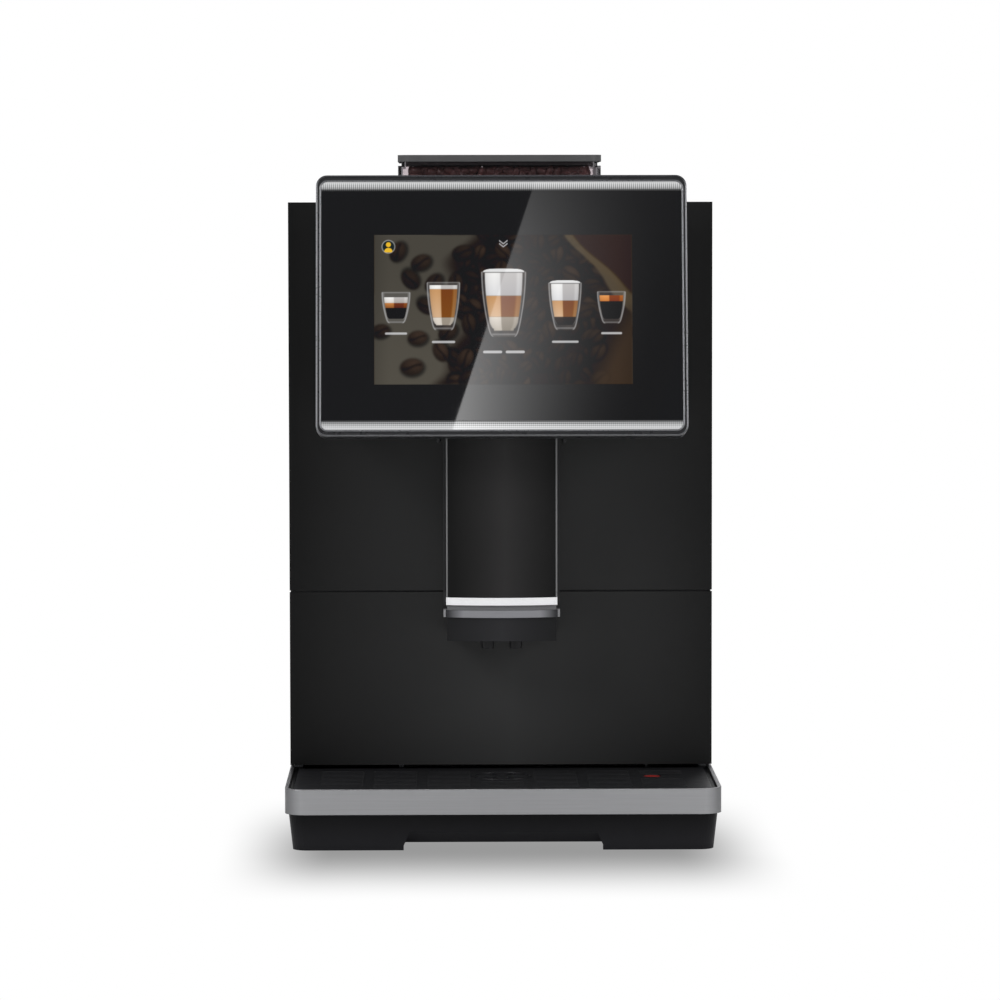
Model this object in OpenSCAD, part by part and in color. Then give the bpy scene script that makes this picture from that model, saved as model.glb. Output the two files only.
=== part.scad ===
// Countertop bean-to-cup coffee machine: cabinet, swinging front door with a tilted
// touch display and a height-adjustable spout, pull-out drip tray, lift-off bean hopper
// and lift-out water tank, with the grinder, brewer and water system inside.
// Units are millimetres, +Z is up and the front faces -Y.

/* [Cabinet] */
// Width of the cabinet
body_w = 370; // [350:1:440]
// Depth of the cabinet with its door
body_d = 345; // [330:1:410]
// Height of the cabinet's top above the counter
body_h = 548; // [520:1:640]
// Thickness of the sheet panels
sheet = 2; // [1.5:0.1:3]
// Thickness of the top cover
top_t = 3; // [2.5:0.5:5]
// Height of the rubber feet
foot_h = 8; // [6:1:14]
// Radius of the rubber feet
foot_r = 18; // [12:1:24]
// How far the rear panel sits inside the rear edge
rear_inset = 12; // [12:1:20]

/* [Door] */
// Depth of the door
door_t = 25; // [22:1:32]
// Thickness of the two front skins
skin_t = 3; // [2:0.5:4]
// Gap between the door and what surrounds it
door_gap = 2; // [1.5:0.5:4]
// Height of the seam between the front skins
seam_z = 208; // [190:1:230]
// Width of the seam between the front skins
seam_gap = 1.5; // [1:0.5:3]
// Radius of the hinge pins
hinge_r = 3; // [2.5:0.5:4]
// Distance of the hinge axis from the cabinet's side
hinge_in = 6; // [6:0.5:9]

/* [Drip tray] */
// How far the drip tray stands out in front of the door
tray_reach = 155; // [140:1:185]
// Height of the top of the tray's rim
rim_top = 53; // [50:1:60]
// Height of the silver band of the rim
rim_h = 21.5; // [16:0.5:26]
// Radius of the tray's front corners
tray_r = 16; // [10:1:24]
// Thickness of the silver band
rim_t = 3.25; // [2.5:0.25:4]
// Gap under the tray
tray_clear = 0.5; // [0.5:0.5:3]
// Wall of the tray
tray_wall = 2.5; // [2:0.5:4]
// Width of the finger pull in the tray's lower edge
pull_w = 169; // [120:1:200]

/* [Display] */
// Width of the display frame
disp_w = 317; // [300:0.5:330]
// Height of the display frame along its slope
disp_h = 225; // [215:1:240]
// Tilt of the display back from upright
disp_tilt = 10; // [6:1:14]
// Height of the display's centre
disp_z = 460; // [450:0.5:475]
// How far the display's centre stands out from the door
disp_out = 90; // [85:1:105]
// Corner radius of the display frame
disp_r = 9.5; // [6:0.5:14]
// Width of the visible screen
screen_w = 222.7; // [210:0.1:230]
// Height of the visible screen
screen_h = 128; // [120:0.5:136]

/* [Spout] */
// Outer width of the sliding spout cover
cover_w = 96; // [90:1:104]
// Radius of the cover's curved front
cover_r = 160; // [80:5:220]
// Lower edge of the spout cover
cover_z = 207.5; // [200:0.5:215]
// Length of the spout cover
cover_len = 184; // [180:1:190]
// How far the cover stands out from the door
cover_out = 67; // [60:1:70]
// Radius of the two guide rods
rod_r = 4; // [3:0.5:5]
// Running clearance of the rods and pins in their bores
run_clear = 0.05; // [0.03:0.01:0.08]
// Clearance between sliding covers and their channels
slide_clear = 0.4; // [0.3:0.1:0.8]

/* [Bean hopper] */
// Width of the bean hopper
hop_w = 179; // [170:1:184]
// Depth of the bean hopper
hop_d = 170; // [150:1:180]
// Height of the hopper's shoulder above the cabinet
hop_rise = 32; // [26:1:40]
// Distance of the hopper's centre behind the door face
hop_back = 125; // [120:1:135]
// Wall of the hopper and of the water tank
clear_wall = 2.5; // [2:0.25:3.5]
// Total height of the lid and its neck above the shoulder
lid_rise = 9.5; // [9:0.5:14]

/* [Water tank] */
// Width of the water tank
tank_w = 78; // [70:1:82]
// Depth of the water tank
tank_d = 224; // [200:1:228]

/* [Hidden] */
$fn = 64;
eps = 0.01;

// Cabinet planes
front_y = -(body_d + tray_reach) / 2;
door_y = front_y + tray_reach;
back_y = -front_y;
half_w = body_w / 2;
in_x = half_w - sheet;
frame_y = door_y + door_t + door_gap;
frame_in = frame_y + sheet;
rear_y = back_y - rear_inset;
rear_in = rear_y - sheet;
pan_z = foot_h;
pan_top = pan_z + sheet;
roof_z = body_h - top_t;

// Door
door_z0 = rim_top + door_gap;
shell_y = door_y + skin_t;
shell_back = door_y + door_t;
shell_x = half_w - 1;
hinge_x = -half_w + hinge_in;
hinge_y = door_y + door_t / 2;
hinge_arm = 5;
hinge_zs = [door_z0 + 55, body_h - 48];
lug_h = 14;
lug_gap = 0.5;
hose_port_r = 12;
hose_port_z = cover_z + 130;

// Hopper
hop_y = door_y + hop_back;
hop_r = 14;
shoulder_z = body_h + hop_rise;
neck_in = 3;
neck_h = 3.5;
lid_z = shoulder_z + neck_h;
lid_top = shoulder_z + lid_rise;
funnel_w = 146;
funnel_d = 136;
throat = 60;
deck_z = 388;
grinder_h = 78;
grinder_top = deck_z + sheet + grinder_h;
throat_z = grinder_top + 4;
funnel_top = body_h - 12;
bean_gap = 0.3;
bean_top = shoulder_z - 2.5;
knob_r = 16;
knob_h = 14;
knob_top = shoulder_z - 3;
knob_shaft = 5;

// Grinder
grind_x = 0;
grind_y = hop_y;
grind_r = 45;
motor_r = 32;
motor_len = 118;
burr_r = 30;
burr_h = 22;
burr_z = deck_z + 14;

// Compartments
divider_x = -half_w + tank_w + 17;
plate_y = door_y + 167;
shelf_z = rim_top + 5;

// Water tank
tank_x0 = -in_x + 8;
tank_x1 = tank_x0 + tank_w;
tank_y1 = rear_in - 8;
tank_y0 = tank_y1 - tank_d;
tank_z0 = pan_top + 30;
tank_top = roof_z - 6;
tank_gap = 2;
valve_r = 9;

// Brewer
brew_x0 = 38;
brew_x1 = 122;
brew_y0 = -40;
brew_y1 = plate_y - 3;
brew_z0 = 175;
brew_z1 = 370;
brew_t = 3;
chamber_x = 72;
chamber_y = 0;
chamber_z0 = 250;
chamber_h = 80;
chamber_r = 20.5;
chamber_wall = 5.5;
flange_z = 285;
flange_t = 6;
spindle_x = 108;
spindle_y = 20;
spindle_r = 5;
piston_r = chamber_r - 0.15;
piston_h = 12;
piston_z = chamber_z0 + 5;
cross_z = 186;
cross_h = 14;
gearbox_z = chamber_z0 + chamber_h + 6;
socket_floor = 3;
stem_hole = spindle_r + 0.6;
stem_top = brew_z1 + 2;

// Fan, inlet and fittings on the rear panel
fan_x = 110;
fan_z = 440;
fan_w = 80;
fan_t = 25;
fan_hole = 37;
inlet_x = 130;
inlet_z = 60;
inlet_w = 27;
inlet_h = 20;
switch_x = 88;
switch_w = 19;
switch_h = 13;
rocker_pivot_y = rear_y + 1;
fitting_x = 30;
fitting_z = 60;
fitting_r = 13.2;
spigot_x = -20;
spigot_z = 34;
spigot_r = 8;
fitting_len = rear_inset - 0.5;

// Tray
tray_back = frame_y - 1.5;
tray_x = half_w - rim_t;
tray_draft = 3.2;
tray_floor = 16;
tray_top = rim_top - 3;
rim_z = rim_top - rim_h;
grid_t = 4;
grid_top = rim_top - 1;
arm_x = 150;
arm_w = 12;
arm_h = 8;
arm_z = 22;
arm_back = 0;
ledge = 4;
cup_y = door_y - 58;
cup_ring_r = 26;
float_x = 130;
float_r = 7;

// Display
disp_y = door_y - disp_out;
trim_t = 1.3;
groove = 1.7;
groove_v = 2.9;
frame_edge = 2 * trim_t + groove;
glass_w = disp_w - 2 * frame_edge;
glass_h = disp_h - 2 * (2 * trim_t + groove_v);
glass_r = disp_r - frame_edge + 1;
glass_t = 3;
strip_h = 8;
frame_depth = 16;
back_t = 2;
lcd_t = 6;
screen_drop = 3;
housing_w = disp_w - 26;
housing_t = 2.5;

// Spout
cover_front = door_y - cover_out;
cover_wall = 2.5;
half_cover = cover_w / 2;
cover_back = door_y - 17;
arc_y = cover_front + cover_r;
cover_corner_y = arc_y - sqrt(cover_r * cover_r - half_cover * half_cover);
cover_top = cover_z + cover_len;
trim_w = 1.4;
band_h = 7.5;
band_z = cover_z - band_h;
neck_z = band_z - 3.5;
handle_h = 6.2;
handle_z = neck_z - handle_h;
handle_tab = 2.3;
head_h = 20.5;
head_z = handle_z - head_h;
head_back = door_y - 9;
nozzle_r = 6;
nozzle_x = 12;
nozzle_len = 7;
channel_t = 2;
channel_in = half_cover + slide_clear;
channel_x = channel_in + channel_t;
channel_y = door_y - 45;
channel_z0 = band_z;
channel_z1 = cover_top + 30;
rod_x = 30;
rod_y = door_y - 9;
rod_z0 = cover_z + 66;
rod_z1 = cover_z + 262;
rod_block = 6;
lug_zs = [cover_z + 107, cover_z + 164];
carriage_lug = 8;

// ---------- helpers ----------

module block(lo, hi) translate(lo) cube([hi[0] - lo[0], hi[1] - lo[1], hi[2] - lo[2]]);

module both_sides() {
    children();
    mirror([1, 0, 0]) children();
}

// Rectangle centred on the origin with round corners
module round_rect(w, h, r) {
    square([w - 2 * r, h], center = true);
    square([w, h - 2 * r], center = true);
    for (x = [-1, 1], y = [-1, 1])
        translate([x * (w / 2 - r), y * (h / 2 - r)]) circle(r);
}

module round_plate(w, h, r, t) linear_extrude(t) round_rect(w, h, r);

// Slot with round ends, l long over all along X
module slot(l, w) {
    square([l - w, w], center = true);
    for (x = [-1, 1]) translate([x * (l - w) / 2, 0]) circle(w / 2);
}

// Ring between two radii
module tube(r_out, r_in, h) difference() {
    cylinder(r = r_out, h = h);
    translate([0, 0, -1]) cylinder(r = r_in, h = h + 2);
}

// Draws in the display's own plane: X right, Y up the slope, Z towards the user
module on_display() translate([0, disp_y, disp_z]) rotate([90 - disp_tilt, 0, 0]) children();

// Draws a vertical XZ outline as a plate whose front face is at y and which goes back by t
module upright(y, t) translate([0, y + t, 0]) rotate([90, 0, 0]) linear_extrude(t) children();

// Hose run along the axes through a list of points, with a square push-fit elbow at each bend
module hose(points) {
    for (i = [0 : len(points) - 2]) {
        d = points[i + 1] - points[i];
        l = norm(d);
        translate(points[i]) rotate([0, acos(d[2] / l), atan2(d[1], d[0])]) cylinder(r = hose_r, h = l);
    }
    for (i = [1 : 1 : len(points) - 2]) translate(points[i]) cube(2 * elbow_half, center = true);
}

// Box with tapered sides from w0 x d0 at z0 to w1 x d1 at z1, planar all round
module taper(w0, d0, z0, w1, d1, z1) intersection() {
    upright(-max(d0, d1), 2 * max(d0, d1))
        polygon([[-w0 / 2, z0], [w0 / 2, z0], [w1 / 2, z1], [-w1 / 2, z1]]);
    translate([-max(w0, w1), 0, 0]) rotate([90, 0, 90]) linear_extrude(2 * max(w0, w1))
        polygon([[-d0 / 2, z0], [d0 / 2, z0], [d1 / 2, z1], [-d1 / 2, z1]]);
}

// ---------- cabinet ----------

module base_pan() color("silver") difference() {
    union() {
        block([-in_x, frame_y, pan_z], [in_x, rear_y, pan_top]);
        both_sides() block([in_x - sheet, frame_in, pan_top], [in_x, rear_in, pan_top + 14]);
    }
    for (i = [0 : 5]) translate([60, 100 + 16 * i, pan_z - 1])
        linear_extrude(sheet + 2) slot(70, 5);
}

foot_xs = [-half_w + 35, half_w - 35];
foot_ys = [frame_y + 25, rear_y - 25];

module rubber_feet() color("dimgray") for (x = foot_xs, y = foot_ys) translate([x, y, 0]) {
    cylinder(r1 = foot_r - 1.5, r2 = foot_r, h = 2);
    translate([0, 0, 2]) cylinder(r = foot_r, h = foot_h - 2);
}

module front_frame() color("darkgray") difference() {
    union() {
        block([-in_x, frame_y, pan_top], [in_x, frame_in, roof_z]);
        both_sides() block([in_x - sheet, frame_in, rim_top + 3], [in_x, frame_in + 14, roof_z]);
    }
    block([divider_x + 8, frame_y - 1, shelf_z + 4], [half_w - 14, frame_in + 1, roof_z - 28]);
    block([-in_x + 8, frame_y - 1, pan_top - 1], [in_x - 8, frame_in + 1, rim_top + 2]);
}

vent_rows = 9;

module side_sheet() difference() {
    block([in_x, frame_y, pan_z], [half_w, back_y, roof_z]);
    for (i = [0 : vent_rows - 1])
        translate([in_x - 1, rear_in - 55, 110 + 12 * i]) rotate([90, 0, 90])
            linear_extrude(sheet + 2) slot(64, 4);
}

module left_side_panel() color([0.1, 0.1, 0.1]) mirror([1, 0, 0]) side_sheet();

module right_side_panel() color([0.1, 0.1, 0.1]) side_sheet();

module rear_cutouts() {
    translate([fan_x, fan_z]) for (ring = [0 : 3]) {
        n = ring == 0 ? 1 : 6 * ring;
        for (i = [0 : n - 1]) rotate(360 * i / n) translate([ring * 9.5, 0]) circle(3);
    }
    translate([inlet_x, inlet_z]) square([inlet_w, inlet_h], center = true);
    translate([switch_x, inlet_z]) square([switch_w, switch_h], center = true);
    translate([fitting_x, fitting_z]) circle(fitting_r - 2);
    translate([spigot_x, spigot_z]) circle(spigot_r - 2);
    for (i = [0 : 6]) translate([fan_x, 200 + 14 * i]) slot(90, 4);
}

module rear_panel() color([0.12, 0.12, 0.12]) upright(rear_in, sheet) difference() {
    polygon([[-in_x, pan_top], [in_x, pan_top], [in_x, roof_z], [-in_x, roof_z]]);
    rear_cutouts();
}

module top_cover() color([0.1, 0.1, 0.1]) translate([0, 0, roof_z]) linear_extrude(top_t)
    difference() {
        polygon([[-half_w, frame_y], [half_w, frame_y], [half_w, back_y], [-half_w, back_y]]);
        translate([0, hop_y]) round_rect(funnel_w + 2, funnel_d + 2, 1.5);
        translate([tank_x0 - tank_gap, tank_y0 - tank_gap])
            square([tank_w + 2 * tank_gap, tank_d + 2 * tank_gap]);
    }

module divider_wall() color("silver") difference() {
    block([divider_x, frame_in, pan_top], [divider_x + sheet, rear_in, roof_z]);
    translate([divider_x - 1, suction_y, suction_z]) rotate([0, 90, 0])
        cylinder(r = hose_r + 1.5, h = sheet + 2);
}

module centre_plate() color("silver") difference() {
    block([divider_x + sheet, plate_y, pan_top], [in_x, plate_y + sheet, deck_z]);
    translate([chamber_x, plate_y - 1, brew_hose_z]) rotate([-90, 0, 0]) cylinder(r = 6, h = sheet + 2);
    block([in_x - sheet - 1, plate_y - 1, pan_top - 1], [in_x + 1, plate_y + sheet + 1, pan_top + 15]);
}

module grinder_deck() color("silver") difference() {
    block([divider_x + sheet, frame_in + 16, deck_z], [in_x, rear_in, deck_z + sheet]);
    translate([grind_x, grind_y, deck_z - 1]) cylinder(r = motor_r - 4, h = sheet + 2);
    translate([spindle_x - 30, 0, deck_z - 1]) cylinder(r = 20, h = sheet + 2);
    translate([fan_x, 185, deck_z - 1]) linear_extrude(sheet + 2) slot(60, 20);
    translate([spindle_x, spindle_y, deck_z - 1]) cylinder(r = stem_hole + 1, h = sheet + 2);
}

shelf_x0 = divider_x + sheet + 0.3;
shelf_x1 = 130;

module bin_shelf() color("silver") {
    block([shelf_x0, frame_in, shelf_z], [shelf_x1, plate_y, shelf_z + sheet]);
    for (x = [shelf_x0, shelf_x1 - sheet])
        block([x, frame_in, pan_top], [x + sheet, plate_y, shelf_z]);
}

// Channel rails that carry the drip tray's arms
module tray_runners() color("gray") both_sides() {
    difference() {
        block([arm_x - arm_w / 2 - 4, frame_in + 2, pan_top],
            [arm_x + arm_w / 2 + 4, arm_back + 2, arm_z + arm_h + 4]);
        block([arm_x - arm_w / 2 - 0.5, frame_in, arm_z - 0.5],
            [arm_x + arm_w / 2 + 0.5, arm_back + 3, arm_z + arm_h + 0.5]);
        block([arm_x - arm_w / 2 + 3, frame_in, arm_z], [arm_x + arm_w / 2 - 3, arm_back + 3,
            arm_z + arm_h + 5]);
    }
}

// Fixed arms of the two door hinges, each with its pin
module hinge_brackets() color("silver") for (z = hinge_zs) translate([hinge_x, hinge_y, z]) {
    arm_half = 4;
    difference() {
        union() {
            block([-arm_half, 0, -hinge_arm / 2], [arm_half, frame_y - hinge_y, hinge_arm / 2]);
            translate([0, 0, -hinge_arm / 2]) cylinder(r = arm_half, h = hinge_arm);
        }
        translate([0, 0, -hinge_arm]) cylinder(r = hinge_r, h = 2 * hinge_arm);
    }
    translate([0, 0, -hinge_arm / 2 - 11]) cylinder(r = hinge_r, h = hinge_arm + 22);
}

module tank_seat() color("dimgray") difference() {
    union() {
        block([tank_x0 + 4, tank_y0 + 4, pan_top], [tank_x1 - 4, tank_y1 - 4, pan_top + 3]);
        translate([(tank_x0 + tank_x1) / 2, tank_y1 - 40, pan_top]) cylinder(r = 22, h = 30);
        translate([(tank_x0 + tank_x1) / 2, tank_y0 + 50, pan_top]) cylinder(r = 22, h = 30);
        block([(tank_x0 + tank_x1) / 2 - 8, tank_y0 + 50, pan_top],
            [(tank_x0 + tank_x1) / 2 + 8, tank_y1 - 40, pan_top + 20]);
        block([(tank_x0 + tank_x1) / 2, suction_y - 7, pan_top], [seat_port_x, suction_y + 7, pan_top + 20]);
    }
    translate([(tank_x0 + tank_x1) / 2, tank_y1 - 40, pan_top + 10])
        cylinder(r = valve_r + 0.6, h = 21);
}

bin_wall = 2.5;
bin_x0 = shelf_x0 + 4;
bin_x1 = shelf_x1 - 4;
bin_y0 = frame_in + 5;
bin_y1 = plate_y - 4;
bin_z0 = shelf_z + sheet;
bin_z1 = brew_z0 - 14;

module grounds_container() color([0.2, 0.2, 0.2]) {
    bw = bin_x1 - bin_x0;
    bd = bin_y1 - bin_y0;
    translate([(bin_x0 + bin_x1) / 2, (bin_y0 + bin_y1) / 2, bin_z0]) difference() {
        round_plate(bw, bd, 8, bin_z1 - bin_z0);
        translate([0, 0, bin_wall])
            round_plate(bw - 2 * bin_wall, bd - 2 * bin_wall, 8 - bin_wall, bin_z1 - bin_z0);
    }
}

// ---------- grinder ----------

module grinder_housing() color([0.15, 0.15, 0.16]) translate([grind_x, grind_y, 0]) difference() {
    union() {
        translate([0, 0, deck_z + sheet]) cylinder(r = grind_r, h = grinder_h);
        translate([0, 0, deck_z + sheet]) round_plate(104, 104, 10, 5);
        block([0, -16, deck_z + sheet], [grind_r + 16, 16, deck_z + sheet + 30]);
    }
    translate([0, 0, burr_z - 6]) cylinder(r = burr_r + 3, h = grinder_h);
    translate([0, 0, deck_z]) cylinder(r = 9, h = 40);
    block([burr_r - 4, -11, burr_z - 4], [grind_r + 11, 11, burr_z + 13]);
    block([grind_r + 1, -11, deck_z], [grind_r + 11, 11, burr_z]);
}

module grinder_motor() color("gray") translate([grind_x, grind_y, deck_z - motor_len]) difference() {
    union() {
        cylinder(r = motor_r, h = motor_len);
        translate([0, 0, motor_len - 4]) cylinder(r = motor_r + 8, h = 4);
        translate([0, 0, motor_len]) cylinder(r = 8.8, h = sheet + 2);
    }
    translate([0, 0, motor_len - 40]) cylinder(r = 4 + run_clear, h = 60);
}

// Rotating burr and its shaft
module burr_rotor() color("silver") translate([grind_x, grind_y, 0]) difference() {
    union() {
        translate([0, 0, deck_z - 38]) cylinder(r = 4, h = burr_z - deck_z + 60);
        translate([0, 0, burr_z]) cylinder(r = burr_r, h = 6);
        translate([0, 0, burr_z + 6]) cylinder(r1 = burr_r - 2, r2 = 12, h = burr_h);
    }
    for (a = [0 : 30 : 359]) rotate(a) translate([burr_r - 6, -1, burr_z + 3]) rotate([0, -38, 0])
        cube([12, 2, 40]);
}

chute_y0 = grind_y - 11.5;

// Square duct that drops the grounds from the grinder to the brew chamber
module grounds_chute() color([0.2, 0.2, 0.2]) {
    x0 = grind_r + 0.5;
    x1 = grind_r + 11.5;
    difference() {
        hull() {
            block([x0 - 1.5, grind_y - 13, deck_z - 0.5], [x1 + 1.5, grind_y + 13, deck_z]);
            block([chamber_x - 14, chamber_y - 13, brew_z1], [chamber_x + 14, chamber_y + 13, brew_z1 + 1]);
        }
        hull() {
            block([x0, grind_y - 11, deck_z - 0.5], [x1, grind_y + 11, deck_z + 1]);
            block([chamber_x - 12, chamber_y - 11, brew_z1 - 1],
                [chamber_x + 12, chamber_y + 11, brew_z1 + 1]);
        }
    }
}

// ---------- brewer ----------

module brewer_frame() color([0.2, 0.2, 0.22]) difference() {
    union() {
        for (x = [brew_x0, brew_x1 - brew_t])
            block([x, brew_y0, brew_z0], [x + brew_t, brew_y1, brew_z1]);
        block([brew_x0, brew_y1 - brew_t, brew_z0], [brew_x1, plate_y, brew_z1]);
        for (z = [brew_z0, brew_z1 - brew_t])
            block([brew_x0, brew_y0, z], [brew_x1, brew_y1, z + brew_t]);
    }
    block([chamber_x - 26, chamber_y - 26, brew_z0 - 1],
        [chamber_x + 20, chamber_y + 26, brew_z0 + brew_t + 1]);
    block([chamber_x - 12, chamber_y - 11, brew_z1 - brew_t - 1],
        [chamber_x + 12, chamber_y + 11, brew_z1 + 1]);
    translate([chamber_x, brew_y1 - brew_t - 1, brew_hose_z]) rotate([-90, 0, 0])
        cylinder(r = 6, h = brew_t + 10);
    translate([spindle_x, spindle_y, brew_z1 - brew_t - 1]) cylinder(r = stem_hole, h = brew_t + 2);
}

module brew_chamber() color([0.75, 0.72, 0.65]) difference() {
    union() {
        translate([chamber_x, chamber_y, chamber_z0]) cylinder(r = chamber_r + chamber_wall, h = chamber_h);
        block([brew_x0 + brew_t, chamber_y - 34, flange_z],
            [brew_x1 - brew_t, chamber_y + 34, flange_z + flange_t]);
    }
    translate([chamber_x, chamber_y, chamber_z0 - 1]) cylinder(r = chamber_r, h = chamber_h + 2);
    translate([spindle_x, spindle_y, flange_z - 1]) cylinder(r = stem_hole, h = flange_t + 2);
}

module brewer_gearmotor() color("gray") difference() {
    union() {
        block([94, spindle_y - 14, gearbox_z], [brew_x1 - brew_t, spindle_y + 20, brew_z1 - brew_t]);
        block([94, spindle_y + 20, gearbox_z + 4],
            [brew_x1 - brew_t - 2, brew_y1 - brew_t, brew_z1 - brew_t - 4]);
    }
    translate([spindle_x, spindle_y, gearbox_z - 1])
        cylinder(r = spindle_r + run_clear, h = brew_z1 - gearbox_z + 2);
}

// Rising screw that stands in the crosshead and runs up through the gearmotor
module brewer_spindle() color("silver") translate([spindle_x, spindle_y, cross_z + socket_floor])
    cylinder(r = spindle_r, h = stem_top - cross_z - socket_floor);

// Piston with its rod and the crosshead that holds the screw's lower end
module brewer_piston() color([0.8, 0.78, 0.7]) difference() {
    union() {
        translate([chamber_x, chamber_y, piston_z]) cylinder(r = piston_r, h = piston_h);
        translate([chamber_x, chamber_y, cross_z]) cylinder(r = 7, h = piston_z - cross_z + 1);
        block([chamber_x - 9, chamber_y - 9, cross_z], [chamber_x + 9, chamber_y + 9, cross_z + cross_h]);
        block([chamber_x, chamber_y, cross_z], [spindle_x + 8, spindle_y - 8, cross_z + cross_h]);
        translate([spindle_x, spindle_y, cross_z]) cylinder(r = 10, h = cross_h);
        block([spindle_x - 10, chamber_y, cross_z], [spindle_x + 8, spindle_y, cross_z + cross_h]);
    }
    translate([spindle_x, spindle_y, cross_z + socket_floor])
        cylinder(r = spindle_r + run_clear, h = cross_h);
}

// ---------- water and power ----------

hose_r = 4;
elbow_half = 5.5;
brew_hose_z = 350;
pump_x = 40;
pump_y = plate_y + 30;
pump_z = pan_top + 10;
suction_y = pump_y + 77 + elbow_half;
suction_z = pan_top + 12;
seat_port_x = (tank_x0 + tank_x1) / 2 + 26;
boiler_x = 40;
boiler_y = plate_y + 46;
boiler_r = 36;
boiler_z = 205;
boiler_h = 120;

module boiler() color("silver") {
    translate([boiler_x, boiler_y, boiler_z]) cylinder(r = boiler_r, h = boiler_h);
    for (z = [boiler_z + 18, boiler_z + boiler_h - 28])
        block([boiler_x - 12, plate_y + sheet, z], [boiler_x + 12, boiler_y, z + 10]);
    translate([boiler_x, boiler_y, boiler_z + boiler_h]) cylinder(r = 9, h = 8);
    translate([boiler_x, boiler_y, boiler_z - 8]) cylinder(r = 6, h = 9);
}

module water_pump() color([0.55, 0.3, 0.15]) {
    block([pump_x - 24, pump_y, pump_z], [pump_x + 24, pump_y + 52, pump_z + 46]);
    translate([pump_x, pump_y + 51, pump_z + 23]) rotate([-90, 0, 0]) cylinder(r = 14, h = 26);
    translate([pump_x, boiler_y, pump_z + 45]) cylinder(r = 5, h = 12);
    for (y = [pump_y + 8, pump_y + 44]) translate([pump_x, y, pan_top]) cylinder(r = 8, h = 10.5);
}

module water_hoses() color("whitesmoke") {
    hose([[boiler_x, boiler_y, pump_z + 57], [boiler_x, boiler_y, boiler_z - 8]]);
    hose([[boiler_x, boiler_y, boiler_z + boiler_h + 8], [boiler_x, boiler_y, brew_hose_z],
        [chamber_x, boiler_y, brew_hose_z], [chamber_x, chamber_y + 23, brew_hose_z],
        [chamber_x, chamber_y + 23, chamber_z0 + chamber_h]]);
    hose([[seat_port_x, suction_y, suction_z], [pump_x, suction_y, suction_z],
        [pump_x, suction_y, pump_z + 23]]);
    block([pump_x - elbow_half, suction_y - elbow_half, pump_z + 17],
        [pump_x + elbow_half, suction_y + elbow_half, pump_z + 29]);
}

board_z0 = 170;
board_y0 = plate_y + 25;

module power_board() color("darkgreen") {
    bx = in_x - 10;
    block([bx - 2, board_y0, board_z0], [bx, board_y0 + 110, board_z0 + 150]);
    for (y = [board_y0 + 6, board_y0 + 104], z = [board_z0 + 6, board_z0 + 144])
        translate([bx - eps, y, z]) rotate([0, 90, 0]) cylinder(r = 3, h = 10 + eps);
    block([bx - 34, board_y0 + 12, board_z0 + 12], [bx - 2, board_y0 + 56, board_z0 + 62]);
    for (i = [0 : 2]) block([bx - 18, board_y0 + 14 + 26 * i, board_z0 + 76], [bx - 2,
        board_y0 + 34 + 26 * i, board_z0 + 92]);
    for (i = [0 : 1]) translate([bx - 2, board_y0 + 76 + 18 * i, board_z0 + 30]) rotate([0, -90, 0])
        cylinder(r = 8, h = 26);
    block([bx - 14, board_y0 + 20, board_z0 + 108], [bx - 2, board_y0 + 90, board_z0 + 130]);
}

module fan_frame() color([0.12, 0.12, 0.12]) translate([fan_x, rear_in, fan_z]) rotate([90, 0, 0])
    difference() {
        union() {
            difference() {
                round_plate(fan_w, fan_w, 5, fan_t);
                translate([0, 0, -1]) cylinder(r = fan_hole, h = fan_t + 2);
            }
            translate([0, 0, fan_t - 3]) cylinder(r = 17, h = 3);
            for (a = [45 : 90 : 359]) rotate(a) translate([10, -3, fan_t - 3]) cube([30, 6, 3]);
        }
        translate([0, 0, fan_t - 9]) cylinder(r = 2 + run_clear, h = 10);
    }

module fan_rotor() color([0.2, 0.2, 0.2]) translate([fan_x, rear_in, fan_z]) rotate([90, 0, 0]) {
    translate([0, 0, 4]) cylinder(r = 15, h = fan_t - 8);
    translate([0, 0, fan_t - 5]) cylinder(r = 2, h = 4.5);
    for (a = [0 : 360 / 7 : 359]) rotate(a) translate([13, 0, fan_t / 2 - 1.5]) rotate([35, 0, 0])
        translate([0, -8, -0.75]) cube([21, 16, 1.5]);
}

module power_inlet() color([0.1, 0.1, 0.1]) translate([inlet_x, 0, inlet_z]) {
    difference() {
        union() {
            block([-inlet_w / 2, rear_in - 22, -inlet_h / 2], [inlet_w / 2, rear_y, inlet_h / 2]);
            block([-20, rear_y, -13], [20, rear_y + 2, 13]);
        }
        block([-inlet_w / 2 + 2, rear_y - 15, -inlet_h / 2 + 2],
            [inlet_w / 2 - 2, rear_y + 3, inlet_h / 2 - 2]);
    }
    for (x = [-7, 0, 7]) block([x - 1, rear_y - 16, x == 0 ? 1 : -3], [x + 1, rear_y - 1, x == 0 ? 5 : 1]);
}

module switch_frame() color([0.1, 0.1, 0.1]) translate([switch_x, 0, inlet_z]) difference() {
    union() {
        block([-switch_w / 2, rear_in - 16, -switch_h / 2], [switch_w / 2, rear_y, switch_h / 2]);
        block([-switch_w / 2 - 2, rear_y, -switch_h / 2 - 2],
            [switch_w / 2 + 2, rear_y + 1.5, switch_h / 2 + 2]);
    }
    block([-switch_w / 2 + 1.5, rear_y - 8, -switch_h / 2 + 1.5],
        [switch_w / 2 - 1.5, rear_y + 2, switch_h / 2 - 1.5]);
    translate([0, rocker_pivot_y - 4, -switch_h / 2 - 3]) cylinder(r = 1 + run_clear, h = switch_h + 6);
}

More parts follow.
